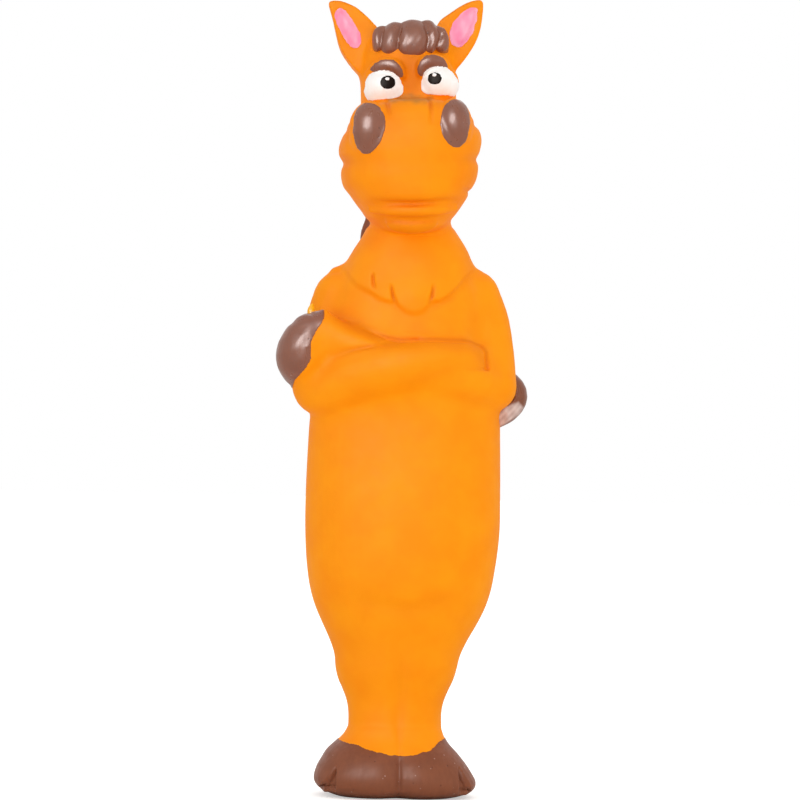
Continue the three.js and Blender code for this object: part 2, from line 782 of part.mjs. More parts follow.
const lockShares = [
  [-0.86, 0.78, 0.88],
  [-0.49, 0.98, 0.95],
  [0.00, 1.28, 1.00],
  [0.50, 1.02, 0.94],
  [0.86, 0.76, 0.86],
];

const lockRouteShares = [
  [0.80, 0.20, 0.00, 0.8],
  [1.00, 0.72, 0.05, 1.0],
  [1.00, 0.98, 0.50, 1.0],
  [1.00, 1.00, 1.00, 0.8],
];

/** One lock of the forelock, falling over the brow. */
function lock([across, breadth, fall]) {
  const places = lockRouteShares.map(([out, forward, down]) => at(
    out * across * forelockHalfWidth,
    -forward * forelockReach,
    forelockTop - down * fall * forelockFall,
  ));
  const radii = lockRouteShares.map((row) => row[3] * breadth * lockRadius);
  return limb(places, radii, { steps: 1, segments: 8 });
}

const earsClear = fuse(earForm(1, gap), earForm(-1, gap));
const locks = fuse(...lockShares.map(lock));
head.add(piece('forelock', surface(largest(cut(locks, headClear, earsClear))), brownPaint));

const maneShares = [
  [0.00, 0.52, 0.42],
  [0.12, 0.82, 0.62],
  [0.26, 0.90, 0.72],
  [0.42, 0.88, 0.80],
  [0.58, 0.80, 0.92],
  [0.74, 0.76, 1.00],
  [0.88, 0.84, 0.86],
  [1.00, 0.92, 0.45],
];
const manePlaces = maneShares.map(([down, back]) => at(
  0,
  back * maneReach,
  headPivotHeight + skullHeight - skullDrop - down * maneHeight,
));
const maneRadii = maneShares.map((row) => row[2] * maneHalfWidth);
const manePlain = limb(manePlaces, maneRadii, { steps: 1, segments: 12, flatness: maneFlatness });
const maneClear = fuse(outOfHead(headClear), outOfHead(earsClear), trunkClear);
toy.add(piece('mane', surface(largest(cut(manePlain, maneClear))), brownPaint));

const tailShares = [
  [0.00, 1.00, 0.65],
  [0.25, 1.04, 0.95],
  [0.52, 0.93, 1.05],
  [0.78, 0.74, 0.85],
  [1.00, 0.60, 0.35],
];
const tailPlaces = tailShares.map(([down, back]) => (
  at(0, back * trunkBack, trunkBase + tailRise - down * tailLength)));
const tailRadii = tailShares.map((row) => row[2] * tailRadius);
const tailPlain = limb(tailPlaces, tailRadii, { steps: 2, segments: 10, flatness: tailFlatness });
const tailClear = fuse(trunkForm(gap, gap), legsForm(gap, gap));
toy.add(piece('tail', surface(largest(cut(tailPlain, tailClear))), brownPaint));

// Squeaker, about an axis that runs from the belly to the back

const squeaker = new THREE.Group();
squeaker.position.set(0, -squeakerFront, squeakerHeight);
squeaker.updateMatrixWorld(true);
toy.add(squeaker);

const bellowsStart = discThickness + gap;
const bellowsEnd = squeakerLength - discThickness - gap;
squeaker.add(piece('squeaker_face', turned([
  [0, 0],
  [squeakerRadius - discThickness / 2, 0],
  [squeakerRadius, discThickness / 2],
  [squeakerRadius, discThickness],
  [0, discThickness],
]), squeakerPlastic));

/** The pleated wall's profile, out along the pleats and back inside them. */
function bellowsProfile() {
  const outer = [];
  for (let i = 0; i <= 2 * pleatCount; i += 1) {
    const depth = THREE.MathUtils.lerp(bellowsStart, bellowsEnd, i / (2 * pleatCount));
    outer.push([squeakerRadius - (i % 2 === 0 ? 0 : pleatDepth), depth]);
  }
  const inner = outer.map(([radius, depth]) => [radius - bellowsWall, depth]).reverse();
  return [...outer, ...inner, outer[0]];
}
squeaker.add(piece('squeaker_bellows', surface(solid(turned(bellowsProfile(), 20))), squeakerPlastic));

const sleeveStart = squeakerLength - sleeveInside;
const baseStart = squeakerLength - discThickness;
const baseBore = sleeveRadius + gap;
squeaker.add(piece('squeaker_base', surface(solid(turned([
  [baseBore, baseStart],
  [squeakerRadius, baseStart],
  [squeakerRadius, squeakerLength],
  [baseBore, squeakerLength],
  [baseBore, baseStart],
]))), squeakerPlastic));

const sleeveEnd = sleeveStart + sleeveLength;
const sleeveBore = sleeveRadius - sleeveWall;
squeaker.add(piece('reed_sleeve', surface(solid(turned([
  [sleeveBore, sleeveStart],
  [sleeveRadius, sleeveStart],
  [sleeveRadius, squeakerLength + gap],
  [sleeveRadius + sleeveFlange, squeakerLength + gap],
  [sleeveRadius + sleeveFlange, squeakerLength + gap + sleeveWall],
  [sleeveRadius, squeakerLength + gap + sleeveWall],
  [sleeveRadius, sleeveEnd],
  [sleeveBore, sleeveEnd],
  [sleeveBore, sleeveStart],
], 16))), squeakerPlastic));

/** Part of a round rod that fills the sleeve's bore between two levels and two depths. */
function boreBlock(low, high, start, end) {
  const rod = solid(turned([[0, start], [sleeveBore - gap, start], [sleeveBore - gap, end], [0, end]], 16));
  return rod.intersect(block(at(-sleeveRadius, start - overrun, low), at(sleeveRadius, end + overrun, high)));
}

const reedRoot = sleeveStart + reedClamp + gap;
const reedTip = sleeveEnd - gap;
const boardEnd = sleeveEnd - gap;
const channel = block(
  at(-channelHalfWidth, reedRoot, -channelDepth),
  at(channelHalfWidth, boardEnd + overrun, overrun),
);
const board = cut(boreBlock(-sleeveRadius, 0, sleeveStart + gap, boardEnd), channel);
squeaker.add(piece('tone_board', surface(board), squeakerPlastic));

const blade = new THREE.Shape();
blade.moveTo(-reedHalfWidth, sleeveStart + gap);
blade.lineTo(reedHalfWidth, sleeveStart + gap);
blade.lineTo(reedHalfWidth, reedTip - reedHalfWidth);
blade.absarc(0, reedTip - reedHalfWidth, reedHalfWidth, 0, Math.PI, false);
const bladeWays = { depth: reedThickness, bevelEnabled: false, curveSegments: 6 };
const bladeGeometry = new THREE.ExtrudeGeometry(blade, bladeWays);
bladeGeometry.translate(0, 0, reedLift);
squeaker.add(piece('reed', surface(solid(bladeGeometry)), reedFilm));

const wedgeBottom = reedLift + reedThickness + gap;
const wedge = boreBlock(wedgeBottom, sleeveRadius, sleeveStart + gap, sleeveStart + gap + reedClamp);
squeaker.add(piece('reed_wedge', surface(wedge), squeakerPlastic));

// Filling

const padBack = -squeakerFront - gap;
const bayEnd = padBack + bellyTravel / crushShare;
const stuffing = trunkForm(-skinWall - gap);
const behind = block(
  at(-trunkHalfWidth - overrun, padBack, trunkBase - overrun),
  at(trunkHalfWidth + overrun, trunkBack + overrun, stumpTop + overrun),
);
const pad = cut(stuffing.intersect(bellyPrism(-gap, 0)), behind);
toy.add(piece('belly_pad', surface(largest(pad)), fibre));

/** The squeaker's space, with the same air all round. */
function squeakerSpace() {
  const barrel = turned([
    [0, -gap],
    [squeakerRadius + gap, -gap],
    [squeakerRadius + gap, squeakerLength + gap],
    [sleeveRadius + sleeveFlange + gap, squeakerLength + gap],
    [sleeveRadius + sleeveFlange + gap, sleeveEnd + gap],
    [0, sleeveEnd + gap],
  ]);
  return solid(barrel).translate(squeaker.position.toArray());
}

const bay = bellyPrism(gap, bayEnd);
const waddingNear = block(
  at(-trunkHalfWidth - overrun, -trunkFront - overrun, trunkBase - overrun),
  at(trunkHalfWidth + overrun, padBack + gap, stumpTop + overrun),
);
const wadding = cut(stuffing.intersect(bellyPrism(-gap, bayEnd - gap)), waddingNear, squeakerSpace());
toy.add(piece('squeeze_wadding', surface(largest(wadding)), fibre));
toy.add(piece('body_filling', surface(largest(cut(stuffing, bay, squeakerSpace()))), fibre));

const legCore = legsForm(-legWall - gap, 0);
const legPlug = stuffingHole(-gap, patchThickness + gap, legBase + gap);
toy.add(piece('leg_filling', surface(fuse(legCore, legPlug)), fibre));

// The toy stands on the ground with the middle of its outline over the origin
toy.updateMatrixWorld(true);
const middle = new THREE.Box3().setFromObject(toy).getCenter(new THREE.Vector3());
toy.position.set(-middle.x, -middle.y, 0);
toy.updateMatrixWorld(true);

export default toy;
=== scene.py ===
"""The looks of a long latex squeaky toy for dogs: a horse that stands with its arms crossed.

Sizes are in millimetres in the toy's own frame, whose upright axis is x = y = 0, with the ground at
z = 0, the horse facing -Y and its left side at +X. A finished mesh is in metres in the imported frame.
"""
import json
import logging
import math
from dataclasses import dataclass, field
from enum import Enum
from typing import Callable, Sequence

import bmesh
import bpy
import numpy as np
from mathutils import Euler, Matrix, Vector

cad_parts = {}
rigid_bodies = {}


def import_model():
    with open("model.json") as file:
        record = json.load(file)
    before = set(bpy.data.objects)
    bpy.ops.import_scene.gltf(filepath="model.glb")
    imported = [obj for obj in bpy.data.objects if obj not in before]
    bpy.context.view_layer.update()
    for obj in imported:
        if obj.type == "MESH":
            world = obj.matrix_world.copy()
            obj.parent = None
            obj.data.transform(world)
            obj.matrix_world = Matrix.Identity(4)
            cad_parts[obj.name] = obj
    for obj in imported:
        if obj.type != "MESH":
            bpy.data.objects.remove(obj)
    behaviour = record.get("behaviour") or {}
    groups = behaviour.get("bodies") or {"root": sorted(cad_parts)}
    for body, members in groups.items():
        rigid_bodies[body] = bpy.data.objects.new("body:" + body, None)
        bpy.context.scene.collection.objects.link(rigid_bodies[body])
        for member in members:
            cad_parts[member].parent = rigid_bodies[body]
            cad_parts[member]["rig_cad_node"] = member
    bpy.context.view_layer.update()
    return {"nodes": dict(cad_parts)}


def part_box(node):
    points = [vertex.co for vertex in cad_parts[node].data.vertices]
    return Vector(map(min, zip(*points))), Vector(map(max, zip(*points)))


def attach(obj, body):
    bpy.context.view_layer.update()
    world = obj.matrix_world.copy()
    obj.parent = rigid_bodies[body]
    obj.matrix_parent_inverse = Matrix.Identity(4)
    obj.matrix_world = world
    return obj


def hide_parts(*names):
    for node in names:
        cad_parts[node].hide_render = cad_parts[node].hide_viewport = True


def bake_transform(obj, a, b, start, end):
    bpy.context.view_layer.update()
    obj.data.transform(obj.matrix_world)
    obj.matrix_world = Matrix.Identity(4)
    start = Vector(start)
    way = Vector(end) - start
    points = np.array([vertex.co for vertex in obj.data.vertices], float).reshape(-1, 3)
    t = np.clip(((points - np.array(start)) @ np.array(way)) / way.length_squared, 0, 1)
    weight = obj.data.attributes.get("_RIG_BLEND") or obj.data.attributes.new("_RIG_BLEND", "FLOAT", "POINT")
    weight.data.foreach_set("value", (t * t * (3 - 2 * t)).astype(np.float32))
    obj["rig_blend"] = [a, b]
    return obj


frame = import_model()
MM = 0.001
LOG = logging.getLogger("toy")
Point = tuple[float, float, float]
Socket = bpy.types.NodeSocket
ROUGH = 1


class Body(Enum):
    """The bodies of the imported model."""

    TOY = "toy"
    BELLY = "belly"
    REED = "reed"


@dataclass(frozen=True)
class PhotoView:
    """The camera that took the photograph, and where a place in it lies on the toy."""

    azimuth: float = math.radians(-4.6)
    roll: float = math.radians(1.3)
    distance: float = 1000.0
    width: float = 192.2
    pixels: int = 800
    aim: Point = (-0.96, 0.0, 94.8)

    def place(self, across: float, down: float, forward: float) -> tuple[float, float]:
        """Finds X and Z of a point from its pixel and from how far in front of the axis it lies.

        Args:
            across: the pixel from the left.
            down: the pixel from the top.
            forward: the point's distance in front of the toy's axis.

        Returns:
            The point's X and Z.
        """
        scale = self.width / self.pixels
        u, v = (across - self.pixels / 2) * scale, (self.pixels / 2 - down) * scale
        turn = self.roll
        u, v = u * math.cos(turn) - v * math.sin(turn), u * math.sin(turn) + v * math.cos(turn)
        x = u
        for _ in range(3):
            near = x * math.sin(self.azimuth) + forward * math.cos(self.azimuth)
            shrink = (self.distance - near) / self.distance
            x = (u * shrink + forward * math.sin(self.azimuth)) / math.cos(self.azimuth)
        return x + self.aim[0], v * shrink + self.aim[2]


PHOTO = PhotoView()


def toy_axis() -> Vector:
    """Where the toy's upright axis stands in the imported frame, in metres."""
    low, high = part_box("squeaker_face")
    return Vector(((low.x + high.x) / 2, low.y + 9.2 * MM, 0))


AXIS = toy_axis()


# Materials


def linear(code: str) -> tuple[float, float, float, float]:
    """Turns an sRGB hex colour to a linear one.

    Args:
        code: the colour as #rrggbb.

    Returns:
        Red, green, blue and an alpha of 1.
    """
    parts = [int(code[i:i + 2], 16) / 255 for i in (1, 3, 5)]
    red, green, blue = (p / 12.92 if p <= 0.04045 else ((p + 0.055) / 1.055) ** 2.4 for p in parts)
    return red, green, blue, 1.0


def add(tree: bpy.types.NodeTree, kind: str, inputs: dict | None = None, **settings) -> bpy.types.Node:
    """Adds a node with its settings and links.

    Args:
        tree: the node tree.
        kind: the node's type.
        inputs: each socket's value, or the socket that feeds it.
        **settings: the node's own properties.

    Returns:
        The node.
    """
    node = tree.nodes.new(kind)
    for name, value in settings.items():
        setattr(node, name, value)
    for name, value in (inputs or {}).items():
        socket = node.inputs[name]
        if isinstance(value, Socket):
            tree.links.new(value, socket)
        else:
            socket.default_value = value
    return node


class Graph:
    """The nodes of one material, with its shader and the Object coordinates that its patterns read."""

    def __init__(self, finish: "Finish") -> None:
        """Makes the material with its shader.

        Args:
            finish: what the material shows.
        """
        self.material = bpy.data.materials.new(finish.name)
        self.material.use_nodes = True
        self.tree = self.material.node_tree
        self.tree.nodes.clear()
        self.finish = finish
        self.shader = add(self.tree, "ShaderNodeBsdfPrincipled", {
            "Base Color": linear(finish.colour),
            "Roughness": finish.roughness,
            "Specular IOR Level": finish.specular,
        })
        add(self.tree, "ShaderNodeOutputMaterial", {"Surface": self.shader.outputs["BSDF"]})
        self.material.diffuse_color = linear(finish.colour)
        self.where = add(self.tree, "ShaderNodeTexCoord").outputs["Object"]

    def noise(self, size: float, detail: float = 2.0, where: Socket | None = None) -> Socket:
        """Adds a noise whose lumps are as wide as a real size.

        Args:
            size: the lumps' width in millimetres.
            detail: the noise's finer octaves.
            where: the coordinates in metres, if not the piece's own.

        Returns:
            The noise's value.
        """
        return add(self.tree, "ShaderNodeTexNoise", {
            "Vector": self.where if where is None else where, "Scale": 1 / (size * MM), "Detail": detail,
        }).outputs["Fac"]

    def cells(self, size: float, channel: str) -> tuple[Socket, Socket]:
        """Adds scattered dots.

        Args:
            size: the distance between dots in millimetres.
            channel: which channel of a dot's random colour tells the dots apart.

        Returns:
            The distance to the nearest dot and that dot's random value.
        """
        dots = add(self.tree, "ShaderNodeTexVoronoi", {"Vector": self.where,
                                                       "Scale": 1 / (size * MM)}).outputs
        random = add(self.tree, "ShaderNodeSeparateColor", {"Color": dots["Color"]}).outputs[channel]
        return dots["Distance"], random

    def mark(self, name: str) -> Socket:
        """Reads a share that the modelling painted on the mesh under a name."""
        return add(self.tree, "ShaderNodeAttribute", attribute_name=name).outputs["Fac"]

    def reckon(self, operation: str, *values: Socket | float) -> Socket:
        """Does one sum on its values, under the Math node's own name for it."""
        return add(self.tree, "ShaderNodeMath", dict(enumerate(values)), operation=operation).outputs[0]

    def spread(self, value: Socket, low: float, high: float, to_low: float, to_high: float) -> Socket:
        """Maps one range of a value to another, held at both ends.

        Args:
            value: the value.
            low: the low end of its range.
            high: the high end.
            to_low: what the low end becomes.
            to_high: what the high end becomes.

        Returns:
            The mapped value.
        """
        return add(self.tree, "ShaderNodeMapRange", {
            "Value": value, "From Min": low, "From Max": high, "To Min": to_low, "To Max": to_high,
        }).outputs["Result"]

    def blend(self, share: Socket, first: Socket | str, second: Socket | str) -> Socket:
        """Mixes two colours.

        Args:
            share: how much of the second is there.
            first: a colour as #rrggbb, or a linked one.
            second: the other.

        Returns:
            The mixed colour.
        """
        node = add(self.tree, "ShaderNodeMix", {"Factor": share}, data_type="RGBA")
        for index, value in ((6, first), (7, second)):
            if isinstance(value, str):
                node.inputs[index].default_value = linear(value)
            else:
                self.tree.links.new(value, node.inputs[index])
        return node.outputs[2]

    def feed(self, name: str, value: Socket) -> None:
        """Links a value to one of the shader's sockets."""
        self.tree.links.new(value, self.shader.inputs[name])

    def roughen(self, pattern: Socket, less: float, more: float) -> None:
        """Lets a pattern make the surface smoother or rougher than the finish's own roughness."""
        own = self.finish.roughness
        self.feed("Roughness", self.spread(pattern, 0.3, 0.7, own - less, own + more))

    def emboss(self, height: Socket, strength: float, depth: float) -> None:
        """Gives the surface a fine relief, whose depth is in millimetres."""
        bump = add(self.tree, "ShaderNodeBump", {"Height": height, "Strength": strength,
                                                 "Distance": depth * MM})
        self.feed("Normal", bump.outputs["Normal"])


@dataclass(frozen=True)
class Finish:
    """What every finish shares: its name, its slot in the record and how its surface takes light."""

    name: str
    slot: str
    colour: str
    shade: str
    roughness: float
    specular: float = 0.5

    def material(self) -> bpy.types.Material:
        """Builds the material.

        Returns:
            The material.
        """
        graph = Graph(self)
        self.cover(graph)
        return graph.material

    def cover(self, graph: Graph) -> None:
        """Adds what the finish shows to a material that is one plain colour."""
        raise NotImplementedError


@dataclass(frozen=True)
class MouldedLatex(Finish):
    """Natural latex cast in a plaster mould: matte, faintly mottled, with the mould's fine grain."""

    mottle: float = 9.0
    grain: float = 0.35
    # the colour of the painted shade in folds and shaded places
    deep: str = "#e27600"
    dust: float = 0.015
    stain: str | None = None

    def cover(self, graph: Graph) -> None:
        """Adds mottling, painted shade in the folds and shaded places, the painter's smudge and the mould's
        grain.

        Args:
            graph: the material's nodes.
        """
        clouds = graph.spread(graph.noise(self.mottle, 3), 0.36, 0.66, 0, 1)
        colour = graph.blend(clouds, self.colour, self.shade)
        # Painted shade: darker amber where the modelling marked folds and shaded places.
        colour = graph.blend(graph.mark("fold"), colour, self.deep)
        if self.stain:
            broken = graph.spread(graph.noise(1.6, 4), 0.3, 0.7, 0.55, 1)
            colour = graph.blend(graph.reckon("MULTIPLY", graph.mark("stain"), broken), colour, self.stain)
        graph.feed("Base Color", colour)
        graph.shader.inputs["Sheen Weight"].default_value = self.dust
        graph.shader.inputs["Sheen Roughness"].default_value = 0.35
        graph.roughen(graph.noise(3.0), 0.05, 0.06)
        graph.emboss(graph.noise(self.grain), 0.22, 0.06)


@dataclass(frozen=True)
class BrushedPaint(Finish):
    """Latex paint laid on by hand: satin, with soft brush strokes, thin places and burst bubbles darkened by
    painted shade, with specks of painted glint.
    """

    stroke: float = 1.1
    slant: float = 0.3
    bubbles: float = 0.0
    strokes_show: float = 0.5
    # the colour of the painted shade in the bubbles' pits
    hollow: str = "#4c2b20"
    # the colour of the painted glints
    painted_glint: str = "#cdb0a4"
    # the colour of a painted highlight, where the mesh marks one
    facet_highlight: str | None = None

    def cover(self, graph: Graph) -> None:
        """Adds brush strokes, a painted highlight where the mesh marks one, and bubbles with painted shade in
        their pits and painted glints.

        Args:
            graph: the material's nodes.
        """
        pulled = add(graph.tree, "ShaderNodeMapping", {
            "Vector": graph.where, "Rotation": (0.0, self.slant, 0.0), "Scale": (1.0, 1.0, 0.22),
        }).outputs["Vector"]
        strokes = height = graph.noise(self.stroke, 3, pulled)
        tone = graph.reckon("ADD", strokes, graph.noise(5.0))
        colour = graph.blend(graph.spread(tone, 0.78, 1.22, 0, self.strokes_show), self.colour, self.shade)
        # Painted highlight: pale where the modelling marked it.
        if self.facet_highlight:
            colour = graph.blend(graph.mark("facet_highlight"), colour, self.facet_highlight)
        if self.bubbles:
            away, chosen = graph.cells(1.7, "Red")
            pit = graph.spread(away, self.bubbles * 0.5, self.bubbles, 0, 1)
            few = graph.spread(graph.noise(6.0, 1), 0.42, 0.6, 0.1, 0.75)
            whole = graph.reckon("MAXIMUM", pit, graph.reckon("GREATER_THAN", chosen, few))
            height = graph.reckon("MULTIPLY_ADD", strokes, 0.3, whole)
            # Painted shade: darker in the pits of the bubbles.
            colour = graph.blend(graph.spread(whole, 0, 1, 0.55, 0), colour, self.hollow)
            # Painted glints: pale specks on a few of the small dots.
            away, chosen = graph.cells(1.1, "Green")
            some = graph.spread(chosen, 0.9, 0.94, 0, 0.45)
            painted_glint = graph.reckon("MULTIPLY", some, graph.spread(away, 0.1, 0.2, 1, 0))
            colour = graph.blend(painted_glint, colour, self.painted_glint)
        graph.feed("Base Color", colour)
        graph.roughen(strokes, 0.07, 0.1)
        graph.emboss(height, 0.35, 0.2)


@dataclass(frozen=True)
class MouldedPolyethylene(Finish):
    """Soft polyethylene as squeakers are blown from: waxy, a little translucent, faintly uneven."""

    def cover(self, graph: Graph) -> None:
        """Adds faint clouds, light that sinks in and an uneven skin.

        Args:
            graph: the material's nodes.
        """
        clouds = graph.spread(graph.noise(3.5), 0.35, 0.65, 0, 1)
        graph.feed("Base Color", graph.blend(clouds, self.colour, self.shade))
        graph.shader.inputs["Subsurface Weight"].default_value = 0.15
        graph.shader.inputs["Subsurface Scale"].default_value = 1.0 * MM
        graph.emboss(graph.noise(0.6), 0.15, 0.05)


@dataclass(frozen=True)
class PolyesterFibre(Finish):
    """Crimped polyester stuffing: dull white tufts of fine fibre."""

    def cover(self, graph: Graph) -> None:
        """Adds tufts with fibres across them.

        Args:
            graph: the material's nodes.
        """
        fibre = add(graph.tree, "ShaderNodeTexWave", {
            "Vector": graph.where, "Scale": 1 / (1.4 * MM), "Distortion": 9.0,
            "Detail": 3.0, "Detail Scale": 1.5,
        }).outputs["Fac"]
        both = graph.reckon("MULTIPLY", graph.noise(2.6, 4), fibre)
        graph.feed("Base Color", graph.blend(graph.spread(both, 0.1, 0.6, 0, 1), self.shade, self.colour))
        graph.shader.inputs["Sheen Weight"].default_value = 0.3
        graph.emboss(both, 0.6, 0.3)


# Cast latex of the body: a saturated matte orange with soft clouds, and painted shade that darkens it to
# amber in its folds.
LATEX = MouldedLatex("natural_latex_orange", "natural_latex", "#fe9803", "#fb9000", 0.62, 0.09)
# The same latex on the head, painted a little darker and redder than the body's as painted shade, with the
# grey-brown smudge of a brush on the nose's bridge.
SHADED_FACE_LATEX = MouldedLatex("natural_latex_orange_face_shaded", "natural_latex", "#fe9402", "#fb8b00", 0.6, 0.09,
                          stain="#a8773c")
# Brown latex paint of hair and feet: a quiet satin chocolate, brushed, with painted shade in the pits of
# bubbles and pale specks of painted glints.
BROWN = BrushedPaint("latex_paint_brown", "brown_latex_paint", "#864f36", "#75432e", 0.42, 0.13, bubbles=0.16)
# The same paint laid on thickly: glossier, so brows, nostrils, forelock and left hand carry soft highlights;
# its colour is painted a little lighter than the hooves' brown as painted light.
LIT_FACE_BROWN = BrushedPaint("latex_paint_brown_face_lit", "brown_latex_paint", "#88523c", "#784634", 0.32, 0.48,
                          bubbles=0.16)
# The same paint with a painted highlight: pale pinkish patches on the right hand's lower facet, painted in as
# its highlight.
FACET_HIGHLIT_BROWN = BrushedPaint("latex_paint_brown_highlit_facet", "brown_latex_paint", "#824a2f", "#713e28", 0.28, 0.3,
                          bubbles=0.16, facet_highlight="#dfc6bd")
# White latex paint of the eyes: clean and slightly warm, with faint strokes.
WHITE = BrushedPaint("latex_paint_white", "white_latex_paint", "#fefcfa", "#f3ece4", 0.36, 0.3, stroke=0.8)
# Black latex paint of the pupils: deep brown-black that hardly reflects, so the painted glint stands out.
BLACK = BrushedPaint("latex_paint_black", "black_latex_paint", "#1a0f09", "#21160f", 0.3, 0.05, stroke=0.6)
# Pink latex paint in the ears: a candy pink whose slanting strokes show.
PINK = BrushedPaint("latex_paint_pink", "pink_latex_paint", "#ffacc5", "#ff90b4", 0.45, 0.13,
                    stroke=1.5, slant=0.55, strokes_show=1.0)
# Yellow latex of the drop at the wrist: a wet-looking yellow bead beside the matte orange.
YELLOW = BrushedPaint("latex_paint_yellow", "natural_latex", "#ffb400", "#f7a400", 0.3, 0.5, stroke=0.7)
# Blown polyethylene of the squeaker: waxy off-white that lets a little light in.
SQUEAKER = MouldedPolyethylene("polyethylene_squeaker", "squeaker_plastic", "#f3f3ef", "#e9eae4", 0.42)
# Polyester film of the reed: smoother and yellower than the squeaker round it.
REED = MouldedPolyethylene("polyester_reed_film", "reed_film", "#d9d2bd", "#cfc7af", 0.3)
# Polyester filling: dull white tufts with crimped fibres across them.
FIBRE = PolyesterFibre("polyester_fibre", "polyester_fibre", "#f4f1ea", "#d8d3c8", 0.95, 0.1)


def to_mesh(bm: bmesh.types.BMesh, name: str) -> bpy.types.Mesh:
    """Turns a bmesh to a mesh and frees it.

    Args:
        bm: the bmesh.
        name: the mesh's name.

    Returns:
        The mesh.
    """
    mesh = bpy.data.meshes.new(name)
    bm.to_mesh(mesh)
    bm.free()
    return mesh


class Paintbox:
    """Makes each material once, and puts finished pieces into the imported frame."""

    def __init__(self) -> None:
        """Starts with no material made."""
        self.made: dict[str, bpy.types.Material] = {}

    def dress(self, piece: bpy.types.Object, finish: Finish) -> None:
        """Gives a piece one finish.

        Args:
            piece: the Blender object.
            finish: the finish that it wears.
        """
        if finish.name not in self.made:
            self.made[finish.name] = finish.material()
        piece.data.materials.clear()
        piece.data.materials.append(self.made[finish.name])

    def show(self, mesh: bpy.types.Mesh, name: str, finish: Finish, nodes: Sequence[str] = (),
             body: Body | None = Body.TOY, place: Matrix | None = None) -> bpy.types.Object:
        """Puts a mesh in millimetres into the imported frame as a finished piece.

        Args:
            mesh: the mesh.
            name: the piece's name.
            finish: the finish that it wears.
            nodes: the CAD nodes that it takes the place of.
            body: the body that it rides on, or None where it blends.
            place: where it goes in the toy's frame.

        Returns:
            The Blender object.
        """
        if place is not None:
            mesh.transform(place)
        mesh.transform(Matrix.Translation(AXIS) @ Matrix.Scale(MM, 4))
        mesh.shade_smooth()
        mesh.name = name
        piece = bpy.data.objects.new(name, mesh)
        bpy.context.scene.collection.objects.link(piece)
        if body is not None:
            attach(piece, body.value)
        LOG.info("%s: %d faces", name, len(mesh.polygons))
        self.dress(piece, finish)
        if nodes:
            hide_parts(*nodes)
        return piece


# Modelling


@dataclass(frozen=True)
class Oval:
    """A level oval of a form that is drawn upwards: its height, its sides, its front and its back."""

    z: float
    left: float
    right: float
    front: float
    back: float

    def matrix(self) -> Matrix:
        """The placement that turns a unit circle into this oval."""
        middle = Vector(((self.right - self.left) / 2, (self.back - self.front) / 2, self.z))
        half = ((self.left + self.right) / 2, (self.front + self.back) / 2, 1.0)
        return Matrix.Translation(middle) @ Matrix.Diagonal((*half, 1.0))


def smooth_curve(keys: Sequence[Sequence[float]], step: float) -> np.ndarray:
    """Draws a smooth curve through rows of values.

    Args:
        keys: rows whose first value is the place along the curve, rising.
        step: the longest step along it.

    Returns:
        Rows of the same values, close together.
    """
    rows = np.array(keys, float)
    x, y = rows[:, 0], rows[:, 1:]
    slope = np.gradient(y, x, axis=0)
    found = []
    for i in range(len(x) - 1):
        gap = x[i + 1] - x[i]
        count = max(1, math.ceil(gap / step))
        for k in range(count):
            t = k / count
            found.append(np.concatenate(([x[i] + t * gap], (
                (2 * t**3 - 3 * t**2 + 1) * y[i] + (t**3 - 2 * t**2 + t) * gap * slope[i]
                + (3 * t**2 - 2 * t**3) * y[i + 1] + (t**3 - t**2) * gap * slope[i + 1]))))
    found.append(rows[-1])
    return np.array(found)


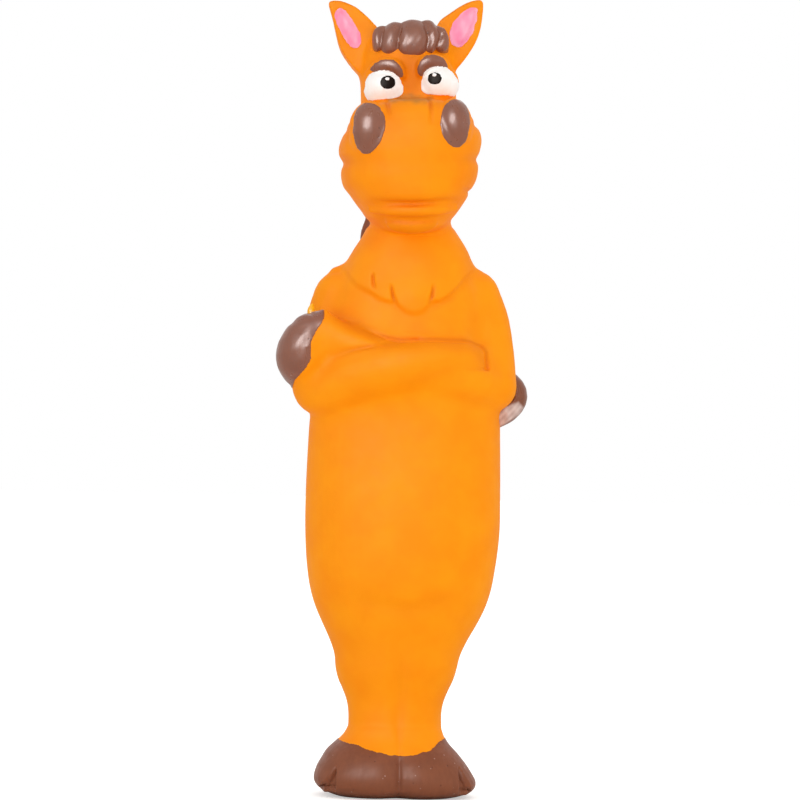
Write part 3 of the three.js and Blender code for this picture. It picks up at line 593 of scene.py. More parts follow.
class Clay:
    """Plain masses that are pressed together into one skin."""

    balls: dict[int, bpy.types.Mesh] = {}

    def __init__(self, made: bmesh.types.BMesh | None = None) -> None:
        """Starts with nothing on the board, or with a form that is there already."""
        self.bm = bmesh.new() if made is None else made

    def ball(self, centre: Point, half: Point, turn: Point = (0, 0, 0), segments: int = 32) -> None:
        """Adds an egg.

        Args:
            centre: its middle.
            half: its half sizes.
            turn: its turn about X, Y and Z in degrees.
            segments: its facets round.
        """
        place = Matrix.Translation(centre) @ Euler([math.radians(a) for a in turn]).to_matrix().to_4x4()
        copy = self.pattern(segments).copy()
        copy.transform(place @ Matrix.Diagonal((*half, 1.0)))
        self.bm.from_mesh(copy)
        bpy.data.meshes.remove(copy)

    @classmethod
    def pattern(cls, segments: int) -> bpy.types.Mesh:
        """The unit ball that every egg is copied from.

        Args:
            segments: its facets round.

        Returns:
            The ball's mesh.
        """
        if segments not in cls.balls:
            bm = bmesh.new()
            bmesh.ops.create_uvsphere(bm, u_segments=segments, v_segments=segments // 2, radius=1.0)
            cls.balls[segments] = to_mesh(bm, "unit_ball")
        return cls.balls[segments]

    @classmethod
    def put_away(cls) -> None:
        """Removes the unit balls when all the modelling is done."""
        for mesh in cls.balls.values():
            bpy.data.meshes.remove(mesh)
        cls.balls.clear()

    def loft(self, ovals: Sequence[Oval], roundness: float = 2.2, segments: int = 64,
             place: Matrix | None = None) -> None:
        """Adds a form that is drawn up through level ovals.

        Args:
            ovals: the ovals from low to high.
            roundness: 2 for ellipses, more for squarer ovals.
            segments: the facets round.
            place: where the whole form goes.
        """
        before = set(self.bm.verts)
        ring = bmesh.ops.create_circle(self.bm, cap_ends=True, radius=1.0, segments=segments)["verts"]
        for vert in ring:
            longest = (abs(vert.co.x) ** roundness + abs(vert.co.y) ** roundness) ** (1 / roundness)
            vert.co /= longest
        bmesh.ops.transform(self.bm, matrix=ovals[0].matrix(), verts=ring)
        edges = list({edge for vert in ring for edge in vert.link_edges})
        for low, high in zip(ovals, ovals[1:]):
            made = bmesh.ops.extrude_edge_only(self.bm, edges=edges)["geom"]
            edges = [item for item in made if isinstance(item, bmesh.types.BMEdge) and item.is_boundary]
            ring = list({vert for edge in edges for vert in edge.verts})
            bmesh.ops.transform(self.bm, matrix=high.matrix() @ low.matrix().inverted(), verts=ring)
        bmesh.ops.edgeloop_fill(self.bm, edges=edges)
        fresh = [vert for vert in self.bm.verts if vert not in before]
        if place is not None:
            bmesh.ops.transform(self.bm, matrix=place, verts=fresh)
        faces = list({face for vert in fresh for face in vert.link_faces})
        bmesh.ops.recalc_face_normals(self.bm, faces=faces)

    def plate(self, outline: np.ndarray, front: tuple[float, float], back: tuple[float, float]) -> None:
        """Adds a flat form inside an outline that is seen from the front.

        Args:
            outline: its corners, as rows of X and Z.
            front: the Y of its front at its lowest and at its highest corner.
            back: the Y of its back there.
        """
        low, high = outline[:, 1].min(), outline[:, 1].max()
        ring = [self.bm.verts.new((x, 0, z)) for x, z in outline]
        edges = [self.bm.edges.new(pair) for pair in zip(ring, ring[1:] + ring[:1])]
        made = bmesh.ops.edgeloop_fill(self.bm, edges=edges)["faces"]
        geom = bmesh.ops.extrude_edge_only(self.bm, edges=edges)["geom"]
        far = [item for item in geom if isinstance(item, bmesh.types.BMVert)]
        rim = [item for item in geom if isinstance(item, bmesh.types.BMEdge) and item.is_boundary]
        made += bmesh.ops.edgeloop_fill(self.bm, edges=rim)["faces"]
        for verts, (at_low, at_high) in ((ring, front), (far, back)):
            for vert in verts:
                share = (vert.co.z - low) / (high - low)
                vert.co.y = at_low + share * (at_high - at_low)
        faces = list({face for vert in ring + far for face in vert.link_faces})
        bmesh.ops.recalc_face_normals(self.bm, faces=faces)

    def limb(self, places: Sequence[Sequence[float]], spacing: float = 0.8,
             flatten: Point = (1, 1, 1), turn: Point = (0, 0, 0)) -> None:
        """Adds a limb as a close row of balls.

        Args:
            places: rows of x, y, z and radius along it.
            spacing: the distance between balls.
            flatten: how each ball is scaled.
            turn: the balls' turn about X, Y and Z in degrees.
        """
        rows = np.array(places, float)
        steps = np.linalg.norm(np.diff(rows[:, :3], axis=0), axis=1)
        along = np.concatenate(([0], np.cumsum(steps)))
        for row in smooth_curve(np.column_stack((along, rows)), spacing):
            x, y, z, radius = row[1:]
            self.ball((x, y, z), (radius * flatten[0], radius * flatten[1], radius * flatten[2]), turn, 20)

    def skin(self, voxel: float) -> "Skin":
        """Presses the masses into one skin.

        Args:
            voxel: the size of its facets.

        Returns:
            The skin.
        """
        mesh = to_mesh(self.bm, "clay")
        lump = bpy.data.objects.new("clay", mesh)
        bpy.context.scene.collection.objects.link(lump)
        remesh = lump.modifiers.new("fuse", "REMESH")
        remesh.mode = "VOXEL"
        remesh.voxel_size = voxel
        graph = bpy.context.evaluated_depsgraph_get()
        fused = bpy.data.meshes.new_from_object(lump.evaluated_get(graph))
        bpy.data.objects.remove(lump)
        bpy.data.meshes.remove(mesh)
        return Skin(fused)


class Skin:
    """A fine closed skin whose points can be moved all at once, in millimetres."""

    pull = 0.5  # how far a point goes towards the middle of its neighbours
    restore = 0.52  # how far it then goes back, so that the form doesn't shrink
    rise = 0.6  # how far a point in a valley rises towards that middle
    fresh = 8  # after how many rounds of filling the directions are read anew

    def __init__(self, mesh: bpy.types.Mesh) -> None:
        """Takes over a mesh.

        Args:
            mesh: the mesh, in millimetres.
        """
        self.mesh = mesh
        self.paint: dict[str, np.ndarray] = {}
        self.read()

    def read(self) -> None:
        """Reads the points and edges of the mesh."""
        mesh = self.mesh
        self.co = np.empty(len(mesh.vertices) * 3)
        mesh.vertices.foreach_get("co", self.co)
        self.co = self.co.reshape(-1, 3)
        edges = np.empty(len(mesh.edges) * 2, int)
        mesh.edges.foreach_get("vertices", edges)
        self.edges = edges.reshape(-1, 2)
        self.links = np.bincount(self.edges.ravel(), minlength=len(self.co)).astype(float)

    def store(self) -> None:
        """Writes the points back to the mesh."""
        self.mesh.vertices.foreach_set("co", self.co.ravel())
        self.mesh.update()

    def refine(self, wanted: np.ndarray) -> None:
        """Halves the facets round wanted points, so that fine cuts can be pressed in.

        Args:
            wanted: whether each point is wanted.
        """
        self.store()
        bm = bmesh.new()
        bm.from_mesh(self.mesh)
        bm.verts.index_update()
        edges = [edge for edge in bm.edges if wanted[edge.verts[0].index] and wanted[edge.verts[1].index]]
        bmesh.ops.subdivide_edges(bm, edges=edges, cuts=1, use_grid_fill=True)
        bm.to_mesh(self.mesh)
        bm.free()
        self.read()

    def mark(self, name: str, share: np.ndarray) -> None:
        """Paints a share from 0 to 1 on each point, where it's more than what is there."""
        self.paint[name] = np.maximum(self.paint.get(name, 0.0), share)

    def around(self) -> np.ndarray:
        """The middle of each point's neighbours.

        Returns:
            The middles.
        """
        first, second = self.edges.T
        total = np.empty_like(self.co)
        for axis in range(3):
            column = self.co[:, axis]
            total[:, axis] = (np.bincount(first, column[second], len(self.co))
                              + np.bincount(second, column[first], len(self.co)))
        return total / self.links[:, None]

    def smooth(self, rounds: int, share: np.ndarray | float = 1.0, keep: bool = True) -> None:
        """Smooths the skin.

        Args:
            rounds: how often.
            share: how much each point takes part, from 0 to 1.
            keep: whether the form is kept from shrinking.
        """
        amount = np.broadcast_to(np.asarray(share, float), len(self.co))[:, None]
        for _ in range(rounds):
            self.co += self.pull * amount * (self.around() - self.co)
            if keep:
                self.co -= self.restore * amount * (self.around() - self.co)

    def fill(self, rounds: int, share: np.ndarray | float = 1.0) -> None:
        """Fills valleys with a soft rounding and leaves everything else.

        Args:
            rounds: how often.
            share: how much each point takes part, from 0 to 1.
        """
        amount = np.broadcast_to(np.asarray(share, float), len(self.co))
        for count in range(rounds):
            if count % self.fresh == 0:
                ways = self.normals()
            hollow = np.einsum("ij,ij->i", self.around() - self.co, ways)
            self.co += ways * (self.rise * amount * np.maximum(hollow, 0))[:, None]

    def normals(self) -> np.ndarray:
        """The outward direction at each point.

        Returns:
            The directions.
        """
        self.store()
        found = np.empty(len(self.co) * 3)
        self.mesh.vertices.foreach_get("normal", found)
        return found.reshape(-1, 3)

    def push(self, amount: np.ndarray, direction: np.ndarray | None = None) -> None:
        """Moves points outwards, or along a direction, by an amount each."""
        way = self.normals() if direction is None else direction
        self.co += way * amount[:, None]

    def near(self, centre: Point, half: Point) -> np.ndarray:
        """How deep each point lies in an egg: 1 in its middle, 0 on its skin and below 0 outside."""
        return 1 - np.linalg.norm((self.co - np.array(centre)) / np.array(half), axis=1)

    def patch(self, wanted: np.ndarray, depth: np.ndarray) -> bmesh.types.BMesh:
        """Cuts out the faces that touch wanted points.

        Args:
            wanted: whether each point is wanted.
            depth: a value of each point that the patch keeps, under the name depth.

        Returns:
            The faces, with their points' values and directions.
        """
        ways = self.normals()
        corners = np.empty(len(self.mesh.loops), int)
        self.mesh.loops.foreach_get("vertex_index", corners)
        starts = np.empty(len(self.mesh.polygons), int)
        self.mesh.polygons.foreach_get("loop_start", starts)
        taken = np.maximum.reduceat(wanted[corners], starts)
        bm = bmesh.new()
        layer = bm.verts.layers.float.new("depth")
        way = bm.verts.layers.float_vector.new("way")
        made: dict[int, bmesh.types.BMVert] = {}
        for index in np.flatnonzero(taken):
            ring = [int(i) for i in self.mesh.polygons[int(index)].vertices]
            for i in ring:
                if i not in made:
                    made[i] = bm.verts.new(self.co[i])
                    made[i][layer] = depth[i]
                    made[i][way] = ways[i]
            bm.faces.new([made[i] for i in ring])
        return bm

    def copy(self) -> "Skin":
        """A second skin of the same form."""
        self.store()
        return Skin(self.mesh.copy())

    def settle(self, box: Paintbox, name: str, finish: Finish, nodes: Sequence[str] = (),
               body: Body | None = Body.TOY, place: Matrix | None = None) -> bpy.types.Object:
        """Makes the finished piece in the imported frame.

        Args:
            box: the materials.
            name: the piece's name.
            finish: the finish that it wears.
            nodes: the CAD nodes that it takes the place of.
            body: the body that it rides on, or None where it blends.
            place: where the form goes in the toy's frame.

        Returns:
            The Blender object.
        """
        self.store()
        for label, values in self.paint.items():
            layer = self.mesh.attributes.new(label, "FLOAT", "POINT")
            layer.data.foreach_set("value", values.astype(np.float32))
        return box.show(self.mesh, name, finish, nodes, body, place)


def ease(value: np.ndarray) -> np.ndarray:
    """A smooth step from 0 to 1."""
    held = np.clip(value, 0, 1)
    return held * held * (3 - 2 * held)


def to_line(flat: np.ndarray, line: np.ndarray) -> tuple[np.ndarray, np.ndarray]:
    """Measures how far points lie from a broken line.

    Args:
        flat: the points, as rows of two.
        line: the line's corners, as rows of two.

    Returns:
        Each point's distance, and its place along the line in corners.
    """
    best = np.full(len(flat), 1e9)
    along = np.zeros(len(flat))
    for i, (start, end) in enumerate(zip(line, line[1:])):
        span = end - start
        t = np.clip(((flat - start) @ span) / max(span @ span, 1e-12), 0, 1)
        gap = np.linalg.norm(flat - start - t[:, None] * span, axis=1)
        closer = gap < best
        best[closer], along[closer] = gap[closer], i + t[closer]
    return best, along


def inside(flat: np.ndarray, outline: np.ndarray) -> np.ndarray:
    """How far points lie inside an outline: above 0 inside it, below 0 outside.

    Args:
        flat: the points, as rows of two.
        outline: the outline's corners, as rows of two.

    Returns:
        The signed distances.
    """
    closed = np.vstack((outline, outline[:1]))
    within = np.zeros(len(flat), bool)
    x, z = flat.T
    for (x1, z1), (x2, z2) in zip(closed, closed[1:]):
        if z1 == z2:
            continue
        crosses = ((z1 > z) != (z2 > z)) & (x < (x2 - x1) * (z - z1) / (z2 - z1) + x1)
        within ^= crosses
    return np.where(within, 1, -1) * to_line(flat, closed)[0]


def rounded(outline: Sequence[Sequence[float]], rounds: int = 2, closed: bool = True) -> np.ndarray:
    """Rounds the corners of an outline by cutting them again and again.

    Args:
        outline: the outline's corners.
        rounds: how often they are cut.
        closed: whether the last corner joins the first.

    Returns:
        The new corners.
    """
    points = np.array(outline, float)
    for _ in range(rounds):
        following = np.roll(points, -1, axis=0)
        pairs = np.stack((0.75 * points + 0.25 * following, 0.25 * points + 0.75 * following), axis=1)
        cut = pairs.reshape(-1, points.shape[1])
        points = cut if closed else np.vstack((points[:1], cut[1:-3], points[-1:]))
    return points


def ragged(flat: np.ndarray, size: float, seed: float) -> np.ndarray:
    """An even unrest between -1 and 1 over places, as a brush leaves on an edge of paint.

    Args:
        flat: the places, as rows of two.
        size: how wide the unrest's waves are.
        seed: a number that shifts the waves.

    Returns:
        A value for each place.
    """
    x, z = flat.T / size
    return (np.sin(1.9 * x + 1.3 * z + seed) + np.sin(-1.1 * x + 2.3 * z + 2.1 * seed)
            + np.sin(3.7 * x - 2.9 * z + 0.7 * seed)) / 3


@dataclass(frozen=True)
class Crease:
    """A fold in the skin, seen from the front, with painted shade along it.

    Each place holds the pixel across and down, the depth and the half width in millimetres.
    """

    places: Sequence[Sequence[float]]
    forward: float = 18.0
    lip: float = 0.25
    # how strongly shade is painted along the fold
    painted_shade: float = 0.75
    fade: float = 7.0

    def across(self, skin: Skin, place: Matrix | None = None) -> tuple[np.ndarray, np.ndarray]:
        """Measures a skin's points against the fold.

        Args:
            skin: the skin.
            place: where the skin stands in the toy's frame, if it isn't made there.

        Returns:
            Each point's distance, which is far where the skin faces away, and its place along the fold.
        """
        spots = np.array([self.spot(row, place) for row in self.places])
        gap, along = to_line(skin.co[:, [0, 2]], spots)
        facing = (skin.normals()[:, 1] < 0.25) & (skin.co[:, 1] < 0)
        return np.where(facing, gap, 99.0), along

    def press(self, skin: Skin, place: Matrix | None = None) -> None:
        """Presses the fold into a skin and paints shade along it.

        Args:
            skin: the skin.
            place: where the skin stands in the toy's frame, if it isn't made there.
        """
        gap, along = self.across(skin, place)
        keys = np.arange(len(self.places))
        rows = np.array(self.places, float)
        depth, width = np.interp(along, keys, rows[:, 2]), np.interp(along, keys, rows[:, 3])
        depth = depth * ease(-skin.co[:, 1] / self.fade)
        share = np.minimum(gap / width, 4.0)
        skin.push(-depth * (np.exp(-share**2) - self.lip * share**2 * np.exp(-((share - 1.2) ** 2))))
        gap, along = self.across(skin, place)
        depth, width = np.interp(along, keys, rows[:, 2]), np.interp(along, keys, rows[:, 3])
        depth = depth * ease(-skin.co[:, 1] / self.fade)
        # Painted shade: the fold's line is marked darker, the more so where it is deep and narrow.
        skin.mark("fold", np.exp(-np.minimum(gap / width, 4.0) ** 2) * np.clip(depth / 0.8, 0, 1)
                  * np.minimum(0.7 / width, 1) * self.painted_shade)

    def spot(self, row: Sequence[float], place: Matrix | None) -> tuple[float, float]:
        """The fold's place in the skin's own X and Z.

        Args:
            row: the pixel across and down.
            place: where the skin stands in the toy's frame, or None if it's made there.

        Returns:
            X and Z.
        """
        x, z = PHOTO.place(row[0], row[1], self.forward)
        if place is None:
            return x, z
        local = place.inverted() @ Vector((x, -self.forward, z))
        return local.x, local.z


def seen(outline: Sequence[Sequence[float]], forward: float, place: Matrix | None = None) -> np.ndarray:
    """Turns pixels of the photograph, at a distance in front of the axis, into X and Z on the toy."""
    plain = Crease((), forward)
    return np.array([plain.spot(row, place) for row in outline])


@dataclass
class PaintFilm:
    """A film of paint on a skin: the part of the skin inside an outline, lifted a little."""

    name: str
    outline: np.ndarray
    finish: Finish
    nodes: tuple[str, ...] = ()
    lift: float = 0.12
    rag: float = 0.12
    rag_size: float = 0.9
    seed: float = 1.0
    limit: Callable[[Skin], np.ndarray] | None = None
    under: float = 0.0
    fine: bool = False

    def depth(self, flat: np.ndarray) -> np.ndarray:
        """How far inside the painted edge each place lies."""
        return inside(flat, self.outline) + self.rag * ragged(flat, self.rag_size, self.seed)

    def lay(self, skin: Skin, box: Paintbox, place: Matrix | None = None) -> bpy.types.Object:
        """Lays the film on a skin.

        Args:
            skin: the skin under it.
            box: the materials.
            place: where the skin stands in the toy's frame, if it isn't made there.

        Returns:
            The film's Blender object.
        """
        flat = skin.co[:, [0, 2]]
        depth = self.depth(flat)
        if self.limit:
            depth = np.minimum(depth, self.limit(skin))
        facing = (skin.normals()[:, 1] < 0.3) & (skin.co[:, 1] < 2)
        return self.cut(skin, np.where(facing, depth, -9.0), box, place)

    def trace(self, skin: Skin, depth: np.ndarray) -> Skin:
        """Cuts the painted part out of a skin by each point's depth inside the painted edge.

        Args:
            skin: the skin under it.
            depth: above 0 where the paint lies.

        Returns:
            The painted part.
        """
        bm = skin.patch(depth > 0, depth)
        layer = bm.verts.layers.float["depth"]
        for edge in [edge for edge in bm.edges if (edge.verts[0][layer] > 0) != (edge.verts[1][layer] > 0)]:
            inner, outer = sorted(edge.verts, key=lambda vert: -vert[layer])
            if outer[layer] > -5 and not outer.tag:
                outer.co = inner.co.lerp(outer.co, inner[layer] / (inner[layer] - outer[layer]))
                outer.tag = True
        for face in bm.faces:
            inner = max(face.verts, key=lambda vert: vert[layer])
            for vert in face.verts:
                if -5 < vert[layer] <= 0 and not vert.tag:
                    vert.co = inner.co.lerp(vert.co, inner[layer] / (inner[layer] - vert[layer]))
                    vert.tag = True
        loose = [face for face in bm.faces if any(vert[layer] <= 0 and not vert.tag for vert in face.verts)]
        bmesh.ops.delete(bm, geom=loose, context="FACES")
        self.keep_largest(bm)
        bmesh.ops.dissolve_degenerate(bm, edges=bm.edges, dist=0.01)
        if self.fine:
            bmesh.ops.subdivide_edges(bm, edges=bm.edges, cuts=1, use_grid_fill=True)
            bmesh.ops.smooth_vert(bm, verts=bm.verts, factor=0.5, use_axis_x=True, use_axis_y=True,
                                  use_axis_z=True)
        rim = [vert for vert in bm.verts if vert.is_boundary]
        for _ in range(4):
            bmesh.ops.smooth_vert(bm, verts=rim, factor=0.4, use_axis_x=True, use_axis_y=True,
                                  use_axis_z=True)
        return Skin(to_mesh(bm, self.name))

    @staticmethod
    def keep_largest(bm: bmesh.types.BMesh) -> None:
        """Drops all but the largest island of faces.

        Args:
            bm: the painted part.
        """
        left, islands = set(bm.faces), []
        while left:
            reached, island = [left.pop()], []
            while reached:
                face = reached.pop()
                island.append(face)
                beside = {other for edge in face.edges for other in edge.link_faces} & left
                left -= beside
                reached.extend(beside)
            islands.append(island)
        islands.sort(key=len)
        for island in islands[:-1]:
            bmesh.ops.delete(bm, geom=island, context="FACES")

    def finish_film(self, part: Skin, box: Paintbox, place: Matrix | None) -> bpy.types.Object:
        """Lifts the painted part and gives it its thickness.

        Args:
            part: the painted part.
            box: the materials.
            place: where the skin stands in the toy's frame.

        Returns:
            The film's Blender object.
        """
        bm = bmesh.new()
        bm.from_mesh(part.mesh)
        way = bm.verts.layers.float_vector["way"]
        share = bm.verts.layers.float.new("share")
        for vert in bm.verts:
            vert[share] = 0.35 if vert.is_boundary else 1.0
        under = list(bm.verts)
        made = bmesh.ops.extrude_face_region(bm, geom=list(bm.faces), use_keep_orig=True)["geom"]
        for vert in made:
            if isinstance(vert, bmesh.types.BMVert):
                vert.co += vert[way] * (self.under + (self.lift - self.under) * vert[share])
        for vert in under:
            vert.co -= vert[way] * 0.2
        bm.verts.layers.float.remove(share)
        bm.verts.layers.float.remove(bm.verts.layers.float["depth"])
        bm.verts.layers.float_vector.remove(bm.verts.layers.float_vector["way"])
        bmesh.ops.recalc_face_normals(bm, faces=bm.faces)
        return box.show(to_mesh(bm, self.name), self.name, self.finish, self.nodes, place=place)

    def cut(self, skin: Skin, depth: np.ndarray, box: Paintbox,
            place: Matrix | None = None) -> bpy.types.Object:
        """Makes the whole film from a skin and each point's depth inside the painted edge."""
        return self.finish_film(self.trace(skin, depth), box, place)


# The body


@dataclass
class BodySkin:
    """The moulded body: trunk, legs and crossed arms in one skin, with the ruff in relief."""

    voxel: float = 0.54
    dent_from: float = 17.9
    dent_pocket: float = 5.6
    dent_low: float = 44.0
    dent_top: float = 90.5
    middle: float = -0.45
    spur: Point = (-20.6, -12.6, 114.7)
    ruff_lift: float = 1.5
    notches: Sequence[Sequence[Sequence[float]]] = (
        ((336.6, 767.5), (335.8, 780), (335.3, 799), (317, 799), (320.5, 789.5), (325.5, 783.5), (331, 775)),
        ((459.4, 768.5), (463.5, 775), (468.5, 783), (471.5, 790), (474, 799), (459.8, 799), (459.2, 780)),
    )
    rows: Sequence[Sequence[float]] = (
        (7.0, 11.0, 10.0, 9.6, 9.0), (12.0, 12.0, 10.9, 10.1, 9.5), (16.5, 11.7, 10.7, 9.8, 9.0),
        (20.0, 11.75, 10.65, 9.8, 9.2), (22.2, 12.1, 11.0, 10.0, 9.5), (25.4, 13.3, 12.2, 10.8, 10.4),
        (27.8, 14.4, 13.3, 11.6, 11.1), (30.2, 15.0, 14.0, 12.4, 11.9), (33.7, 15.4, 14.8, 13.3, 12.7),
        (37.5, 16.8, 16.5, 14.4, 13.5), (41.3, 18.6, 18.6, 15.8, 14.5), (45.1, 20.3, 20.4, 17.3, 15.5),
        (48.9, 21.5, 21.6, 18.7, 16.2), (54.7, 22.5, 22.6, 20.1, 16.8), (62.3, 23.1, 23.4, 20.9, 17.0),
        (73.8, 23.2, 23.4, 20.7, 16.7), (81.0, 23.0, 23.3, 19.5, 16.3), (86.0, 22.8, 23.2, 18.4, 16.0),
        (89.6, 22.6, 23.1, 17.7, 15.8), (97.4, 21.4, 21.8, 17.4, 15.4), (108.0, 19.6, 20.0, 16.2, 15.3),
        (116.6, 18.9, 19.3, 14.8, 14.8), (119.6, 18.0, 18.6, 14.4, 14.3), (122.4, 16.8, 17.5, 14.0, 13.7),
        (125.0, 14.8, 15.6, 13.6, 13.0), (127.0, 13.4, 14.9, 13.3, 12.3), (129.0, 12.2, 13.7, 12.9, 11.7),
        (131.0, 11.0, 12.6, 12.4, 11.2), (133.0, 9.7, 11.3, 12.0, 10.8), (135.0, 8.7, 9.9, 11.7, 10.4),
        (138.0, 6.7, 8.2, 11.0, 10.0), (142.0, 6.5, 7.6, 10.0, 9.6), (152.0, 7.4, 8.0, 9.0, 9.4),
    )
    feet: Sequence[Sequence[float]] = (
        (0.0, 13.8, 13.2, 11.4, 8.4), (0.5, 15.3, 15.1, 14.0, 9.6), (1.2, 17.1, 17.2, 15.8, 10.3),
        (2.2, 18.7, 18.4, 16.8, 10.8), (3.9, 19.7, 18.8, 17.3, 11.0), (5.4, 19.5, 18.0, 17.3, 11.0),
        (6.9, 19.0, 17.1, 16.9, 11.0), (8.8, 17.9, 15.7, 15.9, 10.7), (10.7, 16.7, 14.1, 14.3, 10.3),
        (12.6, 14.6, 12.3, 12.4, 9.9), (14.6, 12.6, 11.2, 11.0, 9.6), (16.4, 11.6, 10.5, 10.2, 9.2),
        (18.0, 10.0, 9.0, 9.0, 8.0),
    )
    right_arm: Sequence[Sequence[float]] = (
        (-15.4, 0.6, 118.7, 7.0), (-17.8, 0.0, 113.4, 6.3), (-19.8, -1.6, 107.6, 5.7),
        (-20.7, -7.0, 97.2, 6.4), (-12.0, -15.2, 100.4, 6.0), (-0.4, -18.6, 103.5, 5.7),
        (8.6, -17.2, 105.0, 4.6), (13.2, -14.2, 105.4, 4.1), (17.4, -8.5, 105.0, 3.4),
    )
    left_upper_arm: Sequence[Sequence[float]] = (
        (15.8, 0.6, 119.6, 7.0), (18.6, -0.6, 113.8, 6.3), (20.0, -3.0, 107.4, 5.9), (20.2, -7.2, 98.6, 6.2),
    )
    left_forearm: Sequence[Sequence[float]] = (
        (19.8, -7.6, 98.4, 6.0), (12.0, -13.8, 100.0, 5.6), (1.0, -15.2, 102.8, 5.2),
        (-9.2, -14.8, 106.2, 4.8), (-18.6, -12.4, 109.8, 4.7),
    )
    left_hand: Sequence[Sequence[float]] = (
        (-18.6, -12.4, 110.4, 4.5), (-21.2, -11.8, 110.8, 4.7), (-25.4, -10.5, 104.7, 6.15),
        (-25.6, -8.4, 101.9, 4.6),
    )

    def clay(self) -> Clay:
        """Puts the plain masses together.

        Returns:
            The masses.
        """
        clay = Clay()
        clay.loft([Oval(*row) for row in smooth_curve(self.rows, 1.2)])
        clay.loft([Oval(*row) for row in smooth_curve(self.feet, 0.7)], 2.5)
        for limb in (self.right_arm, self.left_upper_arm, self.left_forearm, self.left_hand):
            clay.limb(limb)
        clay.ball(self.spur, (1.1, 1.2, 1.7), (0, 40, 0))
        clay.ball((-19.0, -11.0, 103.8), (4.4, 4.0, 4.6))
        return clay

    def sculpt(self) -> Skin:
        """Presses the masses together and works the folds in.

        Returns:
            The skin.
        """
        skin = self.clay().skin(self.voxel * ROUGH)
        skin.smooth(6)
        self.soften(skin)
        self.raise_ruff(skin)
        self.fold(skin)
        self.cleave(skin)
        self.dent_hand(skin)
        skin.smooth(2)
        skin.co[:, 2] = np.maximum(skin.co[:, 2], 0)
        return skin

    def soften(self, skin: Skin) -> None:
        """Lets shoulders, elbows and the forearms run into the trunk.

        Args:
            skin: the skin.
        """
        z = skin.co[:, 2]
        arms = ease((z - 86) / 5) * ease((132 - z) / 5)
        skin.fill(90, arms)
        middle = ease(skin.near((1, -19, 94.5), (25, 14, 9)) * 1.8)
        skin.fill(90, middle)
        skin.smooth(70, 0.6 * middle, keep=False)
        skin.smooth(8, arms)

    def ruff_outline(self) -> np.ndarray:
        """The lower edge of the ruff's hair, closed far above it.

        Returns:
            Rows of X and Z.
        """
        edge = (
            (300, 262), (345.7, 265.7), (356, 283.6), (364, 289.5), (372.5, 294), (378, 299.5), (385, 301.4),
            (390, 303), (393.5, 302), (396, 305), (403, 311), (409, 313.6), (415, 314), (421, 312.5),
            (426, 308.6), (431.4, 303), (434, 301), (438.6, 302), (444, 299), (453, 294), (465, 280),
            (473.4, 271), (520, 262), (520, 150), (300, 150),
        )
        return rounded(seen(edge, 13.0), 2)

    def raise_ruff(self, skin: Skin) -> None:
        """Lifts the ruff out of the neck and chest.

        Args:
            skin: the skin.
        """
        outline = self.ruff_outline()
        front = ease(0.5 - skin.co[:, 1] / 6)
        depth = inside(skin.co[:, [0, 2]], outline)
        step = ease(depth / 1.7 + 0.5) * (0.62 + 0.38 * ease(depth / 5))
        back_edge = 125.5 + 1.2 * np.sin(np.arctan2(skin.co[:, 0], skin.co[:, 1]) * 9)
        behind = ease((skin.co[:, 2] - back_edge) / 1.3)
        share = front * step + (1 - front) * behind
        fade = ease((150 - skin.co[:, 2]) / 12)
        skin.push(self.ruff_lift * share * fade * (skin.co[:, 2] > 112))

    def fold(self, skin: Skin) -> None:
        """Works in the tufts' cuts, the folds of the arms, the belly's fold and the line of the legs.

        Args:
            skin: the skin.
        """
        cuts = (
            Crease(((373.2, 271, 0.0, 0.3), (373.0, 277, 0.9, 0.3), (373.6, 284, 0.8, 0.34),
                    (375, 289, 0.1, 0.5)), 15, 0.0),
            Crease(((390.6, 283, 0.0, 0.3), (391.8, 289, 0.8, 0.3), (393, 296, 1.0, 0.36),
                    (395, 302, 0.4, 0.6)), 15.5, 0.0),
            Crease(((433.8, 283, 0.0, 0.3), (433.4, 289, 0.7, 0.3), (432.4, 296, 0.9, 0.36),
                    (430.6, 302, 0.4, 0.6)), 15.5, 0.0),
            Crease(((362, 327, 0.0, 0.6), (374, 332.5, 0.4, 0.5), (388, 337.2, 1.0, 0.45),
                    (400, 339.4, 1.3, 0.42), (430, 338.8, 1.3, 0.42), (456, 340, 1.0, 0.45),
                    (474, 341.6, 0.9, 0.5), (483, 345, 0.9, 0.55), (487.4, 352, 1.0, 0.6),
                    (488.4, 360, 1.0, 0.6), (488.8, 367, 0.7, 0.6)), 17, 0.0),
            Crease(((487.6, 368.4, 0.4, 0.5), (472, 368.8, 0.15, 0.6), (458, 369, 0.0, 0.6)), 15, 0.0),
            Crease(((386, 342.5, 0.2, 0.7), (368, 346.5, 0.6, 0.55), (352, 350, 0.5, 0.7),
                    (336, 354.5, 0.2, 1.0), (324, 358, 0.0, 1.2)), 19, 0.0),
            Crease(((347, 268, 0.05, 0.7), (356, 284.5, 0.1, 0.8), (364, 290.5, 0.14, 0.8),
                    (372.5, 295.5, 0.2, 0.7), (380, 301, 0.25, 0.7), (388, 304, 0.25, 0.6),
                    (394, 304.8, 0.35, 0.6), (398, 308.4, 0.25, 0.6), (404, 313.4, 0.1, 0.6),
                    (415, 316, 0.0, 0.6), (424, 312.8, 0.1, 0.6), (429, 307.6, 0.3, 0.6),
                    (433, 304.6, 0.4, 0.6), (440, 303.4, 0.35, 0.6), (450, 298, 0.4, 0.7),
                    (459, 289.5, 0.35, 0.8), (466, 281.5, 0.3, 0.8), (473, 273, 0.1, 0.8)), 14, 0.0, 0.5),
        )
